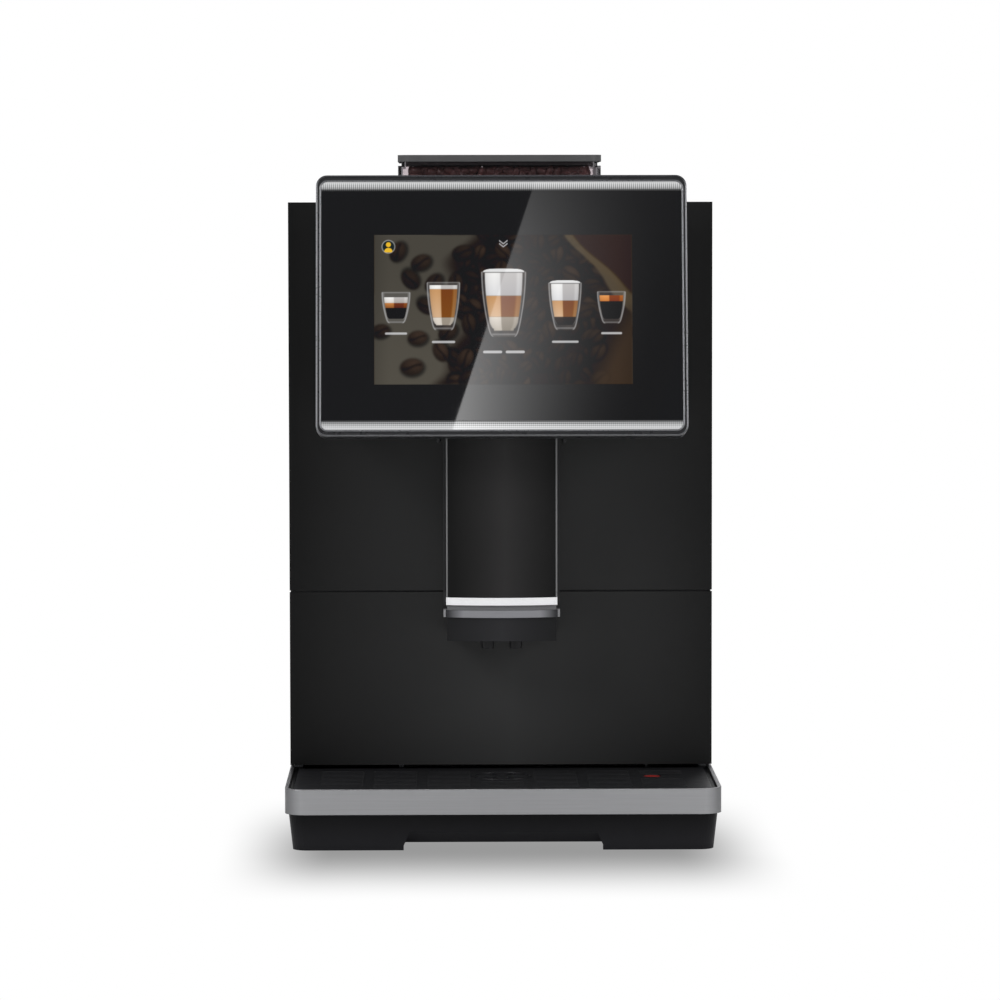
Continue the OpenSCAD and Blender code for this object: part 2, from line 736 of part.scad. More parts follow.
// Rocker that tips about an upright pin
module switch_rocker() color([0.6, 0.05, 0.05]) translate([switch_x, rocker_pivot_y - 4, inlet_z]) {
    rocker_w = switch_w - 4.5;
    rocker_h = switch_h - 4;
    translate([0, 0, -rocker_h / 2]) linear_extrude(rocker_h) polygon([[-rocker_w / 2, -1],
        [rocker_w / 2, -1], [rocker_w / 2, 4], [0, 5.2], [-rocker_w / 2, 4]]);
    translate([0, 0, -switch_h / 2 + 0.2]) cylinder(r = 1, h = switch_h - 0.4);
}

module water_inlet_fitting() color("silver") translate([fitting_x, 0, fitting_z])
    rotate([-90, 0, 0]) difference() {
    union() {
        translate([0, 0, rear_in - 26]) cylinder(r = fitting_r - 2.2, h = sheet + 27);
        translate([0, 0, rear_y]) cylinder(r = fitting_r, h = fitting_len);
        translate([0, 0, rear_in - 26]) cylinder(r = 19, h = 26);
    }
    translate([0, 0, rear_in - 27]) cylinder(r = 7, h = 60);
}

module drain_spigot() color("gray") translate([spigot_x, 0, spigot_z]) rotate([-90, 0, 0]) difference() {
    union() {
        translate([0, 0, rear_in - 20]) cylinder(r = spigot_r - 2.2, h = sheet + 21);
        translate([0, 0, rear_y]) cylinder(r = spigot_r, h = fitting_len);
        translate([0, 0, rear_in - 20]) cylinder(r = 12, h = 20);
    }
    translate([0, 0, rear_in - 21]) cylinder(r = 4, h = 60);
}

// Round-headed screws that hold the rear panel
module case_screws() color("gray") {
    for (x = [-in_x + 12, 0, in_x - 12], z = [pan_top + 14, 250, roof_z - 14])
        translate([x, rear_y, z]) rotate([-90, 0, 0]) difference() {
            cylinder(r = 4, h = 2.4);
            for (a = [0, 90]) rotate(a) translate([-2.5, -0.4, 1.2]) cube([5, 0.8, 3]);
        }
}

// ---------- bean hopper ----------

// Inside of the hopper, shrunk by g all round
module hopper_space(g, z_top) translate([0, hop_y, 0]) {
    inner_w = hop_w - 2 * clear_wall;
    inner_d = hop_d - 2 * clear_wall;
    translate([0, 0, body_h + clear_wall + g])
        round_plate(inner_w - 2 * g, inner_d - 2 * g, hop_r - clear_wall - g,
            z_top - body_h - clear_wall - g);
    taper(throat - 2 * clear_wall - 2 * g, throat - 2 * clear_wall - 2 * g, throat_z + 18,
        funnel_w - 2 * clear_wall - 2 * g, funnel_d - 2 * clear_wall - 2 * g, funnel_top);
    translate([0, 0, funnel_top - eps]) linear_extrude(body_h + clear_wall + g + 1 - funnel_top)
        square([funnel_w - 2 * clear_wall - 2 * g, funnel_d - 2 * clear_wall - 2 * g], center = true);
    translate([0, 0, throat_z]) linear_extrude(18 + eps)
        square([throat - 2 * clear_wall - 2 * g, throat - 2 * clear_wall - 2 * g], center = true);
}

module bean_hopper() color([0.6, 0.6, 0.62, 0.5]) difference() {
    translate([0, hop_y, 0]) {
        translate([0, 0, body_h]) round_plate(hop_w, hop_d, hop_r, hop_rise);
        translate([0, 0, shoulder_z]) round_plate(hop_w - 2 * neck_in, hop_d - 2 * neck_in,
            hop_r - neck_in, neck_h);
        translate([0, 0, funnel_top]) linear_extrude(body_h + 1 - funnel_top)
            square([funnel_w, funnel_d], center = true);
        taper(throat, throat, throat_z + 16, funnel_w, funnel_d, funnel_top + eps);
        translate([0, 0, throat_z]) linear_extrude(17) square([throat, throat], center = true);
    }
    hopper_space(0, shoulder_z - 1.5);
    translate([0, hop_y, throat_z - 1]) linear_extrude(3)
        square([throat - 2 * clear_wall, throat - 2 * clear_wall], center = true);
    translate([0, hop_y, shoulder_z - 3]) round_plate(hop_w - 2 * neck_in - 5, hop_d - 2 * neck_in - 5,
        hop_r - neck_in - 2.5, neck_h + 10);
}

// Beans, a plain fill below the hopper's mouth
module coffee_beans() color([0.25, 0.13, 0.08]) difference() {
    intersection() {
        hopper_space(bean_gap, shoulder_z - 2);
        block([-hop_w, hop_y - hop_d, throat_z + 8], [hop_w, hop_y + hop_d, bean_top]);
    }
    translate([0, hop_y, throat_z - 1]) cylinder(r = knob_shaft + 0.5, h = knob_top - throat_z);
    translate([0, hop_y, knob_top - knob_h - 0.5]) cylinder(r = knob_r + 0.5, h = 60);
}

// Knob that locks the hopper and closes its shutter
module hopper_lock_knob() color([0.1, 0.1, 0.1]) translate([0, hop_y, 0]) {
    translate([0, 0, throat_z + 1]) cylinder(r = knob_shaft, h = knob_top - knob_h - throat_z - 1);
    translate([0, 0, throat_z + 1]) linear_extrude(3) intersection() {
        circle(throat / 2 - clear_wall - 0.5);
        square([throat, 22], center = true);
    }
    translate([0, 0, knob_top - knob_h]) cylinder(r = knob_r, h = knob_h - 6);
    translate([0, 0, knob_top - 6]) linear_extrude(6) slot(2 * knob_r - 4, 8);
}

module hopper_lid() color([0.12, 0.12, 0.12]) translate([0, hop_y, 0]) difference() {
    union() {
        translate([0, 0, lid_z]) round_plate(hop_w + 0.5, hop_d + 0.5, hop_r, lid_top - lid_z);
        translate([0, 0, shoulder_z + 0.5]) round_plate(hop_w - 2 * neck_in - 6, hop_d - 2 * neck_in - 6,
            hop_r - neck_in - 3, lid_z - shoulder_z);
    }
    translate([0, 0, shoulder_z - 1]) round_plate(hop_w - 2 * neck_in - 12, hop_d - 2 * neck_in - 12,
        hop_r - neck_in - 5, lid_z - shoulder_z + 4);
}

// ---------- water tank ----------

module water_tank() color([0.6, 0.7, 0.75, 0.4]) {
    cx = (tank_x0 + tank_x1) / 2;
    cy = (tank_y0 + tank_y1) / 2;
    difference() {
        translate([cx, cy, tank_z0]) round_plate(tank_w, tank_d, 10, tank_top - tank_z0);
        translate([cx, cy, tank_z0 + clear_wall]) round_plate(tank_w - 2 * clear_wall,
            tank_d - 2 * clear_wall, 10 - clear_wall, tank_top - tank_z0);
        translate([cx, tank_y1 - 40, tank_z0 - 1]) cylinder(r = 4, h = 10);
    }
    translate([cx, tank_y1 - 40, tank_z0 - 15]) tube(valve_r, 4, 15 + eps);
}

module tank_lid() color([0.12, 0.12, 0.12]) {
    cx = (tank_x0 + tank_x1) / 2;
    cy = (tank_y0 + tank_y1) / 2;
    difference() {
        union() {
            translate([cx - tank_w / 2 - 1, cy - tank_d / 2 - 1, tank_top])
                cube([tank_w + 2, tank_d + 2, body_h - tank_top]);
            translate([cx, cy, tank_top - 5]) round_plate(tank_w - 2 * clear_wall - 1,
                tank_d - 2 * clear_wall - 1, 7, 5);
        }
        translate([cx, cy, body_h - 5]) round_plate(26, 60, 12, 6);
        translate([cx, cy, tank_top - 6]) round_plate(tank_w - 14, tank_d - 14, 6, 6);
    }
    translate([cx, cy, body_h - 4.5]) linear_extrude(4) square([6, 60], center = true);
}

// ---------- drip tray ----------

tray_len = tray_back - front_y - rim_t;
tray_cy = (tray_back + front_y + rim_t) / 2;

// Outline of the tray in plan, drawn in by g: round front corners, square rear corners
module tray_outline(g) translate([0, tray_cy]) {
    w = 2 * (tray_x - g);
    l = tray_len - 2 * g;
    r = tray_r - rim_t;
    round_rect(w, l, r);
    translate([0, l / 4]) square([w, l / 2], center = true);
}

module drip_tray() color([0.1, 0.1, 0.11]) {
    difference() {
        hull() {
            translate([0, 0, tray_clear]) linear_extrude(1, $fn = 32) tray_outline(tray_draft);
            translate([0, 0, rim_z - 1]) linear_extrude(1, $fn = 32) tray_outline(0);
        }
        translate([0, 0, tray_floor]) linear_extrude(40) tray_outline(tray_wall + 1.4);
        finger_pull();
        translate([0, 0, tray_clear - 1]) linear_extrude(tray_floor - tray_clear - 1)
            tray_outline(tray_draft + 8);
    }
    difference() {
        translate([0, 0, rim_z]) linear_extrude(tray_top - rim_z) tray_outline(0);
        translate([0, 0, rim_z - 1]) linear_extrude(40) tray_outline(tray_wall + 1.4);
    }
    grid_ledges();
    both_sides() block([arm_x - arm_w / 2, tray_back - 4, arm_z], [arm_x + arm_w / 2, arm_back, arm_z + arm_h]);
}

ledge_z = grid_top - grid_t - 3;

// Ledges inside the tray that the grid rests on
module grid_ledges() {
    wall_x = tray_x - tray_wall - 1.4;
    both_sides() block([wall_x - ledge, front_y + 60, ledge_z], [wall_x + 1, door_y, ledge_z + 3]);
    block([-120, front_y + rim_t + tray_wall, ledge_z],
        [120, front_y + rim_t + tray_wall + ledge + 2, ledge_z + 3]);
    block([-wall_x - 0.5, door_y - 1 - ledge, ledge_z], [wall_x + 0.5, tray_back - tray_wall, ledge_z + 3]);
    block([-wall_x - 0.5, door_y - 1, ledge_z], [wall_x + 0.5, tray_back - tray_wall, tray_top]);
}

pull_depth = 14;
pull_top = 15;

// Sloping finger pull under the tray's front edge
module finger_pull() {
    y0 = front_y + rim_t - 1;
    hull() {
        block([-pull_w / 2, y0, tray_clear - 1], [pull_w / 2, y0 + pull_depth, tray_clear + 4]);
        block([-pull_w / 2 + 6, y0, pull_top + 1], [pull_w / 2 - 6, y0 + 1.5, pull_top + 2]);
    }
}

module tray_rim() color("silver") difference() {
    translate([0, 0, rim_z]) linear_extrude(rim_h) difference() {
        rim_outline();
        tray_outline(0);
    }
    block([-half_w - 1, tray_back, rim_z - 1], [half_w + 1, tray_back + 20, rim_top + 1]);
}

// Outer outline of the silver band
module rim_outline() {
    l = tray_back - front_y;
    translate([0, front_y + l / 2]) round_rect(body_w, l, tray_r);
    translate([-half_w, front_y + l / 2]) square([body_w, l / 2]);
}

grid_w = 2 * (tray_x - tray_wall - 1.4) - 1;
grid_y0 = front_y + rim_t + tray_wall + 2;
grid_y1 = door_y - 1.5;

module drip_grid() color([0.08, 0.08, 0.09]) {
    cy = (grid_y0 + grid_y1) / 2;
    gd = grid_y1 - grid_y0;
    rows = floor((gd - 24) / 9);
    translate([0, 0, grid_top - grid_t]) linear_extrude(grid_t) difference() {
        union() {
            translate([0, cy]) round_rect(grid_w, gd, tray_r - rim_t + 0.5);
            translate([-grid_w / 2, cy]) square([grid_w, gd / 2]);
        }
        for (i = [0 : rows - 1], k = [-3 : 3]) {
            y = grid_y0 + 16 + 9 * i;
            near_ring = abs(k) < 1 && abs(y - cup_y) < cup_ring_r + 9;
            near_float = k == 3 && abs(y - cup_y) < 14;
            if (!near_ring && !near_float) translate([46 * k, y]) slot(38, 3);
        }
        translate([float_x, cup_y]) circle(float_r + 1);
        for (a = [0 : 60 : 359]) translate([0, cup_y]) rotate(a) translate([14, 0]) slot(14, 3.5);
    }
    translate([0, cup_y, grid_top - eps]) difference() {
        cylinder(r = cup_ring_r, h = 0.8);
        translate([0, 0, -1]) cylinder(r = cup_ring_r - 2.2, h = 3);
    }
}

module tray_float() color([0.6, 0.1, 0.05]) translate([float_x, cup_y, 0]) {
    translate([0, 0, tray_floor]) cylinder(r = 12, h = 14);
    translate([0, 0, tray_floor + 13]) cylinder(r = float_r - 3, h = grid_top - tray_floor - 14);
    translate([0, 0, grid_top - 3]) cylinder(r = float_r, h = 2.5);
}

// ---------- door ----------

module door_shell() color([0.08, 0.08, 0.08]) difference() {
    union() {
        difference() {
            block([-shell_x, shell_y, door_z0], [shell_x, shell_back, body_h]);
            block([-shell_x + 2.5, shell_y + 2, door_z0 + 2.5], [shell_x - 2.5, shell_back + 1, body_h - 2.5]);
        }
        for (z = [door_z0 + 150, door_z0 + 330]) block([-shell_x, shell_y, z], [shell_x, shell_back - 6, z + 3]);
        for (z = hinge_zs, s = [-1, 1]) {
            z0 = s > 0 ? z + hinge_arm / 2 + lug_gap : z - hinge_arm / 2 - lug_gap - lug_h;
            block([-shell_x, shell_y, z0], [hinge_x + 9, shell_back, z0 + lug_h]);
        }
    }
    for (z = hinge_zs) {
        half = hinge_arm / 2 + lug_gap;
        block([-shell_x - 1, shell_y + 2, z - half], [hinge_x + 16, shell_back + 1, z + half]);
        translate([hinge_x, hinge_y, z - half - lug_h - 1])
            cylinder(r = hinge_r + run_clear, h = 2 * (half + lug_h) + 2);
    }
    translate([0, shell_y - 1, hose_port_z]) rotate([-90, 0, 0]) cylinder(r = hose_port_r, h = 5);
}

module upper_front_panel() color([0.1, 0.1, 0.1]) difference() {
    block([-half_w, door_y, seam_z + seam_gap / 2], [half_w, shell_y, body_h]);
    translate([0, door_y - 1, hose_port_z]) rotate([-90, 0, 0]) cylinder(r = hose_port_r, h = skin_t + 2);
}

module lower_front_panel() color([0.1, 0.1, 0.1]) {
    block([-half_w, door_y, door_z0], [half_w, shell_y, seam_z - seam_gap / 2]);
}

// ---------- display ----------

// Point of the display's side view: v up the slope, w out of the screen
function disp_point(v, w) = [disp_y + v * sin(disp_tilt) - w * cos(disp_tilt),
    disp_z + v * cos(disp_tilt) + w * sin(disp_tilt)];

seat_gap = 0.05;
housing_bottom = -disp_h / 2 + 6;
housing_top = disp_h / 2 - 6;

// Side view of the housing behind the display, drawn in by g
module housing_profile(g) polygon([disp_point(housing_bottom + g, -frame_depth - seat_gap),
    disp_point(housing_top - g, -frame_depth - seat_gap), [door_y, body_h - 14 - g],
    [door_y, disp_point(housing_bottom, -frame_depth)[1] + 6 + g]]);

module side_prism(w) translate([-w / 2, 0, 0]) rotate([90, 0, 90]) linear_extrude(w) children();

module display_housing() color([0.1, 0.1, 0.1]) {
    difference() {
        side_prism(housing_w) housing_profile(0);
        difference() {
            side_prism(housing_w - 2 * housing_t) housing_profile(housing_t);
        }
        block([-channel_x - 1, cover_front - 4, disp_z - disp_h],
            [channel_x + 1, door_y + 1, disp_z - disp_h / 2 + 20]);
    }
    cover_guides();
}

guide_r = 2.2;
guide_len = 15;

// Round shoes beside the mouth where the spout cover enters the housing
module cover_guides() both_sides() {
    top = disp_point(housing_bottom, -frame_depth)[1] + 12;
    x = channel_x + 1 + guide_r + 0.5;
    translate([x, cover_front + 20, top - guide_len - 9]) {
        cylinder(r1 = guide_r - 1, r2 = guide_r, h = 1.5);
        translate([0, 0, 1.5]) cylinder(r = guide_r, h = guide_len + 7.5);
    }
}

// Dark ring and back plate of the display
module display_frame() color([0.08, 0.08, 0.09]) on_display() difference() {
    translate([0, 0, -frame_depth]) round_plate(disp_w, disp_h, disp_r, frame_depth);
    translate([0, 0, -frame_depth + back_t]) round_plate(glass_w, glass_h, glass_r, frame_depth);
    trim_rings(0, 4);
}

// The two bright rings let into the front of the frame
module trim_rings(g, depth) translate([0, 0, -depth]) linear_extrude(depth + (g > 0 ? 0.6 : 1)) {
    difference() {
        round_rect(disp_w + (g > 0 ? 0 : 1), disp_h + (g > 0 ? 0 : 1), disp_r);
        round_rect(disp_w - 2 * trim_t, disp_h - 2 * trim_t, disp_r - trim_t);
    }
    difference() {
        round_rect(glass_w + 2 * trim_t, glass_h + 2 * trim_t, glass_r + trim_t - 0.4);
        round_rect(glass_w, glass_h, glass_r);
    }
}

module display_trim() color("silver") on_display() trim_rings(1, 4);

module glass_outline(g) round_rect(glass_w - 2 * g, glass_h - 2 * g, glass_r - g);

module display_glass() color([0.05, 0.05, 0.06]) on_display() translate([0, 0, -glass_t])
    linear_extrude(glass_t) intersection() {
        glass_outline(0.15);
        square([disp_w, glass_h - 2 * strip_h], center = true);
    }

module light_strips() color("white") on_display() translate([0, 0, -glass_t]) linear_extrude(glass_t)
    for (s = [-1, 1]) intersection() {
        glass_outline(0.15);
        translate([0, s * (glass_h / 2 - strip_h / 2 + 0.1)]) square([disp_w, strip_h - 0.2], center = true);
    }

module lcd_panel() color([0.2, 0.15, 0.1]) on_display() {
    translate([0, -screen_drop, -glass_t - lcd_t]) linear_extrude(lcd_t)
        square([screen_w + 12, screen_h + 14], center = true);
    translate([0, -screen_drop, -frame_depth + back_t]) linear_extrude(frame_depth - back_t - glass_t - lcd_t)
        square([60, 40], center = true);
    for (s = [-1, 1]) translate([0, s * (glass_h / 2 - 14), -frame_depth + back_t])
        linear_extrude(frame_depth - back_t - glass_t) square([glass_w - 20, 4], center = true);
}

// ---------- spout column ----------

// Plan outline of the cover's curved front, grown by g outwards and t thick
module front_arc(g, t, half) intersection() {
    translate([0, arc_y]) difference() {
        circle(cover_r + g, $fn = 180);
        circle(cover_r + g - t, $fn = 180);
    }
    translate([-half, cover_front - 20]) square([2 * half, 60]);
}

// Filled plan outline of the spout with a curved front, back to y1
module front_solid(g, half, y1) intersection() {
    translate([0, arc_y]) circle(cover_r + g, $fn = 180);
    translate([-half, cover_front - 20]) square([2 * half, y1 - cover_front + 20]);
}

module column_shell() color([0.06, 0.06, 0.06]) difference() {
    union() {
        both_sides() block([channel_in, channel_y, channel_z0], [channel_x, door_y, channel_z1]);
        block([-channel_x, door_y - 2, channel_z0], [channel_x, door_y, channel_z1]);
    }
    translate([0, door_y - 3, hose_port_z]) rotate([-90, 0, 0]) cylinder(r = hose_port_r, h = 5);
}

// Two upright rods in their end blocks
module spout_rails() color("silver") {
    both_sides() translate([rod_x, rod_y, rod_z0]) cylinder(r = rod_r, h = rod_z1 - rod_z0);
    for (z = [rod_z0 - rod_block, rod_z1])
        block([-rod_x - 8, rod_y - 6, z], [rod_x + 8, door_y - 2, z + rod_block]);
}

module spout_cover() color([0.06, 0.06, 0.06]) translate([0, 0, cover_z]) linear_extrude(cover_len)
    difference() {
        front_solid(0, half_cover - trim_w, cover_back);
        front_solid(-cover_wall, half_cover - trim_w - cover_wall, cover_back + 1);
    }

// Bright side strips and lower band that frame the cover
module spout_trim() color("silver") {
    both_sides() translate([0, 0, band_z]) linear_extrude(cover_top - band_z)
        polygon([[half_cover - trim_w, cover_corner_y - 0.6], [half_cover, cover_corner_y - 0.2],
            [half_cover, cover_back], [half_cover - trim_w, cover_back]]);
    translate([0, 0, band_z]) linear_extrude(band_h) front_arc(0.4, 3, half_cover - trim_w);
}

// Lower body of the spout: core, neck, grip bar and the block that holds the nozzles
module spout_head() color([0.25, 0.25, 0.27]) {
    core_half = half_cover - trim_w - cover_wall;
    difference() {
        union() {
            translate([0, 0, neck_z - 1]) linear_extrude(cover_z - neck_z + 9)
                front_solid(-3.2, core_half, cover_back);
            translate([0, 0, neck_z]) linear_extrude(band_z - neck_z) front_solid(-1, half_cover - 1, cover_back);
            translate([0, 0, handle_z]) linear_extrude(handle_h) front_solid(0.8, half_cover - 0.6, cover_back);
            translate([0, 0, head_z]) linear_extrude(head_h) front_solid(-1.5, half_cover - 0.8, head_back);
            both_sides() block([half_cover - 0.7, cover_corner_y + 2, handle_z], [half_cover + handle_tab,
                cover_corner_y + 9, handle_z + handle_h + 0.8]);
            carriage();
            for (x = [-nozzle_x, nozzle_x]) translate([x, cup_y + 3, head_z - nozzle_len])
                cylinder(r1 = nozzle_r - 1, r2 = nozzle_r, h = nozzle_len + 1);
        }
        for (x = [-nozzle_x, nozzle_x]) translate([x, cup_y + 3, head_z - nozzle_len - 1])
            cylinder(r = 3, h = head_h + nozzle_len - 2);
        both_sides() for (z = lug_zs) translate([rod_x, rod_y, z - 1])
            cylinder(r = rod_r + run_clear, h = carriage_lug + 2);
    }
}

// Back plate and the two lugs that ride on the rods
module carriage() {
    inner = half_cover - trim_w - cover_wall;
    block([-inner, cover_back - 3, neck_z], [inner, cover_back, cover_top - 6]);
    for (z = lug_zs) block([-rod_x - 8, cover_back - 1, z], [rod_x + 8, door_y - 3, z + carriage_lug]);
}

// ---------- which node to draw ----------

base_pan();
rubber_feet();
front_frame();
left_side_panel();
right_side_panel();
rear_panel();
top_cover();
divider_wall();
centre_plate();
grinder_deck();
bin_shelf();
tray_runners();
hinge_brackets();
tank_seat();
grounds_container();
grinder_housing();
grinder_motor();
grounds_chute();
brewer_frame();
brew_chamber();
brewer_gearmotor();
boiler();
water_pump();
water_hoses();
power_board();
fan_frame();
power_inlet();
switch_frame();
water_inlet_fitting();
drain_spigot();
case_screws();
burr_rotor();
fan_rotor();
brewer_piston();
brewer_spindle();
switch_rocker();
bean_hopper();
coffee_beans();
hopper_lock_knob();
hopper_lid();
water_tank();
tank_lid();
drip_tray();
tray_rim();
drip_grid();
tray_float();
door_shell();
upper_front_panel();
lower_front_panel();
display_housing();
display_frame();
display_trim();
display_glass();
light_strips();
lcd_panel();
column_shell();
spout_rails();
spout_cover();
spout_trim();
spout_head();
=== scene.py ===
import math
import random

import bpy
import numpy as np
from mathutils import Matrix, Vector


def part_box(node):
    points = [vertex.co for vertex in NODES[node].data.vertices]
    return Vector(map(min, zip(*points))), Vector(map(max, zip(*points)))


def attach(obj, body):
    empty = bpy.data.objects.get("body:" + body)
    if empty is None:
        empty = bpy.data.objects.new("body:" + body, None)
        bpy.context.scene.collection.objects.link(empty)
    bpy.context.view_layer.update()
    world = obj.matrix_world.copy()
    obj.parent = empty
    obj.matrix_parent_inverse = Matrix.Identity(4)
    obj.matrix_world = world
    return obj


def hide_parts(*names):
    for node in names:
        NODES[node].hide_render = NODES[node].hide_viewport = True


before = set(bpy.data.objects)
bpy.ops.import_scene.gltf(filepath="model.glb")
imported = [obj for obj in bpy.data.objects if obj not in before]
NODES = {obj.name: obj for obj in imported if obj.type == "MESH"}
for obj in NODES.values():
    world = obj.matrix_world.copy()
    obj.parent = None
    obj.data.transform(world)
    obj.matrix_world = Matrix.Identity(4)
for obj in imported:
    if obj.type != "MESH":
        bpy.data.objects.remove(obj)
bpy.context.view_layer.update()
MM = 0.001

# The display's own plane: its centre in mm, up its slope and out of its glass
TILT = math.radians(10)
DISP = Vector((0, -185.0, 460.0))
UP = Vector((0, math.sin(TILT), math.cos(TILT)))
OUT = Vector((0, -math.cos(TILT), math.sin(TILT)))


# ---------- camera, floor and light ----------

def look_at(obj, target):
    obj.rotation_euler = (Vector(target) - obj.location).to_track_quat("-Z", "Y").to_euler()


CAM_POS = Vector((-0.0505, -4.049, 0.5435))
CAM_LENS = 163.0        # mm, on a sensor 36 mm wide
CAM_DOWN = 3.7          # degrees below level
CAM_TURN = -0.7225      # degrees to the left of straight on
CAM_ROLL = -0.09        # degrees

camera_data = bpy.data.cameras.new("camera")
camera_data.lens = CAM_LENS
camera_data.sensor_width = 36
camera_data.clip_end = 60
camera = bpy.data.objects.new("camera", camera_data)
camera.location = CAM_POS
camera.rotation_euler = (math.radians(90 - CAM_DOWN), 0, math.radians(CAM_TURN))
camera.rotation_euler.rotate_axis("Z", math.radians(CAM_ROLL))
bpy.context.scene.collection.objects.link(camera)
bpy.context.scene.camera = camera
bpy.context.scene.view_settings.view_transform = "Standard"


def area(name, pos, target, size, power, size_y=None):
    data = bpy.data.lights.new(name, "AREA")
    data.energy = power
    data.size = size
    if size_y:
        data.shape = "RECTANGLE"
        data.size_y = size_y
    light = bpy.data.objects.new(name, data)
    light.location = pos
    bpy.context.scene.collection.objects.link(light)
    look_at(light, target)
    return light


area("overhead", (0, 0.3, 3.0), (0, 0, 0), size=3.2, power=62)
area("key_left", (-2.4, -2.2, 2.3), (0, 0, 0.25), size=1.3, power=38)
area("fill_right", (2.6, -1.4, 1.6), (0, 0, 0.25), size=1.3, power=20)
area("rear", (0.4, 3.0, 2.2), (0, 0, 0.3), size=1.8, power=30)
front_strip = area("front_strip", (0.0, -5.2, 0.9), (0, 0, 0.3), size=0.5, size_y=1.6, power=16)
front_strip.visible_glossy = False


def studio_world(strength):
    """Plain white to the camera and a faint cool light to everything else."""
    world = bpy.data.worlds.new("studio")
    bpy.context.scene.world = world
    world.use_nodes = True
    tree = world.node_tree
    tree.nodes.clear()
    out = tree.nodes.new("ShaderNodeOutputWorld")
    pick = tree.nodes.new("ShaderNodeMixShader")
    path = tree.nodes.new("ShaderNodeLightPath")
    seen = tree.nodes.new("ShaderNodeBackground")
    seen.inputs[0].default_value = (1, 1, 1, 1)
    light = tree.nodes.new("ShaderNodeBackground")
    light.inputs[0].default_value = (0.95, 0.97, 1, 1)
    light.inputs[1].default_value = strength
    tree.links.new(path.outputs["Is Camera Ray"], pick.inputs[0])
    tree.links.new(light.outputs[0], pick.inputs[1])
    tree.links.new(seen.outputs[0], pick.inputs[2])
    tree.links.new(pick.outputs[0], out.inputs[0])


studio_world(0.24)


# ---------- materials ----------

class Nodes:
    """A small builder of node materials in the object's own coordinates, which are metres."""

    def __init__(self, name):
        self.mat = bpy.data.materials.new(name)
        self.mat.use_nodes = True
        self.t = self.mat.node_tree
        self.bsdf = self.t.nodes["Principled BSDF"]
        self.coord = self.t.nodes.new("ShaderNodeTexCoord").outputs["Object"]

    def add(self, kind, ins=(), **props):
        n = self.t.nodes.new(kind)
        for key, value in props.items():
            setattr(n, key, value)
        for key, value in dict(ins).items():
            self.put(n.inputs[key], value)
        return n

    def put(self, socket, value):
        if isinstance(value, bpy.types.NodeSocket):
            self.t.links.new(value, socket)
        else:
            socket.default_value = value

    def look(self, **values):
        """Sets sockets of the main shader: their names in lower case, with underscores for spaces."""
        for socket in self.bsdf.inputs:
            key = socket.name.lower().replace(" ", "_")
            if key in values:
                self.put(socket, values.pop(key))
        assert not values, values

    def base(self):
        """What feeds the base colour at present."""
        return self.bsdf.inputs["Base Color"].links[0].from_socket

    def math(self, op, a, b=0.0):
        n = self.add("ShaderNodeMath", operation=op)
        self.put(n.inputs[0], a)
        self.put(n.inputs[1], b)
        return n.outputs[0]

    def xyz(self):
        return self.add("ShaderNodeSeparateXYZ", {"Vector": self.coord}).outputs

    def up_slope(self):
        """Distance up the display's slope from its centre, in mm."""
        dot = self.add("ShaderNodeVectorMath", {0: self.coord, 1: tuple(UP)}, operation="DOT_PRODUCT")
        rise = self.math("SUBTRACT", dot.outputs["Value"], UP.dot(DISP) * MM)
        return self.math("MULTIPLY", rise, 1000.0)

    def noise(self, scale, detail=3, rough=0.5, vector=None):
        n = self.add("ShaderNodeTexNoise", {"Vector": vector or self.coord, "Scale": scale,
                                            "Detail": detail, "Roughness": rough})
        return n.outputs["Fac"]

    def remap(self, value, a, b, lo=0.3, hi=0.7, kind="LINEAR"):
        """From a at lo to b at hi. The usual lo and hi are the reach of a noise."""
        ins = {"Value": value, "From Min": lo, "From Max": hi, "To Min": a, "To Max": b}
        return self.add("ShaderNodeMapRange", ins, interpolation_type=kind).outputs[0]

    def mix(self, fac, a, b):
        n = self.add("ShaderNodeMix", data_type="RGBA")
        self.put(n.inputs[0], fac)
        for i, c in ((6, a), (7, b)):
            self.put(n.inputs[i], c if isinstance(c, bpy.types.NodeSocket) else (*c, 1))
        return n.outputs[2]

    def fade(self, value, lo, hi, a, b):
        """Colour a up to lo, colour b from hi on, and an even change between them."""
        return self.mix(self.remap(value, 0.0, 1.0, lo, hi), a, b)

    def split(self, value, limit, a, b):
        """Colour a up to the limit and colour b above it."""
        return self.mix(self.math("GREATER_THAN", value, limit), a, b)

    def bump(self, height, strength, distance, normal=None):
        ins = {"Height": height, "Strength": strength, "Distance": distance}
        if normal is not None:
            ins["Normal"] = normal
        return self.add("ShaderNodeBump", ins).outputs[0]

    def round_edges(self, radius):
        return self.add("ShaderNodeBevel", {"Radius": radius}, samples=4).outputs[0]


def surface(name, color, rough, metallic=0.0, spec=0.5, vary=0.12, vary_scale=18, rough_vary=0.05,
            grain=(), edge=0.0004):
    """A finish with slow colour change, uneven gloss, rounded edges and a grain, which is given as
    its scale, strength and depth."""
    m = Nodes(name)
    slow = m.noise(vary_scale, 4, 0.55)
    dark = tuple(c * (1 - vary) for c in color)
    light = tuple(min(1, c * (1 + vary)) for c in color)
    uneven = m.noise(vary_scale * 4.3, 5, 0.6)
    normal = m.round_edges(edge)
    if grain:
        scale, strength, depth = grain
        normal = m.bump(m.noise(scale, 2, 0.5), strength, depth, normal)
    m.look(base_color=m.mix(m.remap(slow, 0, 1), dark, light),
           roughness=m.remap(uneven, rough - rough_vary, rough + rough_vary),
           metallic=metallic, specular_ior_level=spec, normal=normal)
    return m


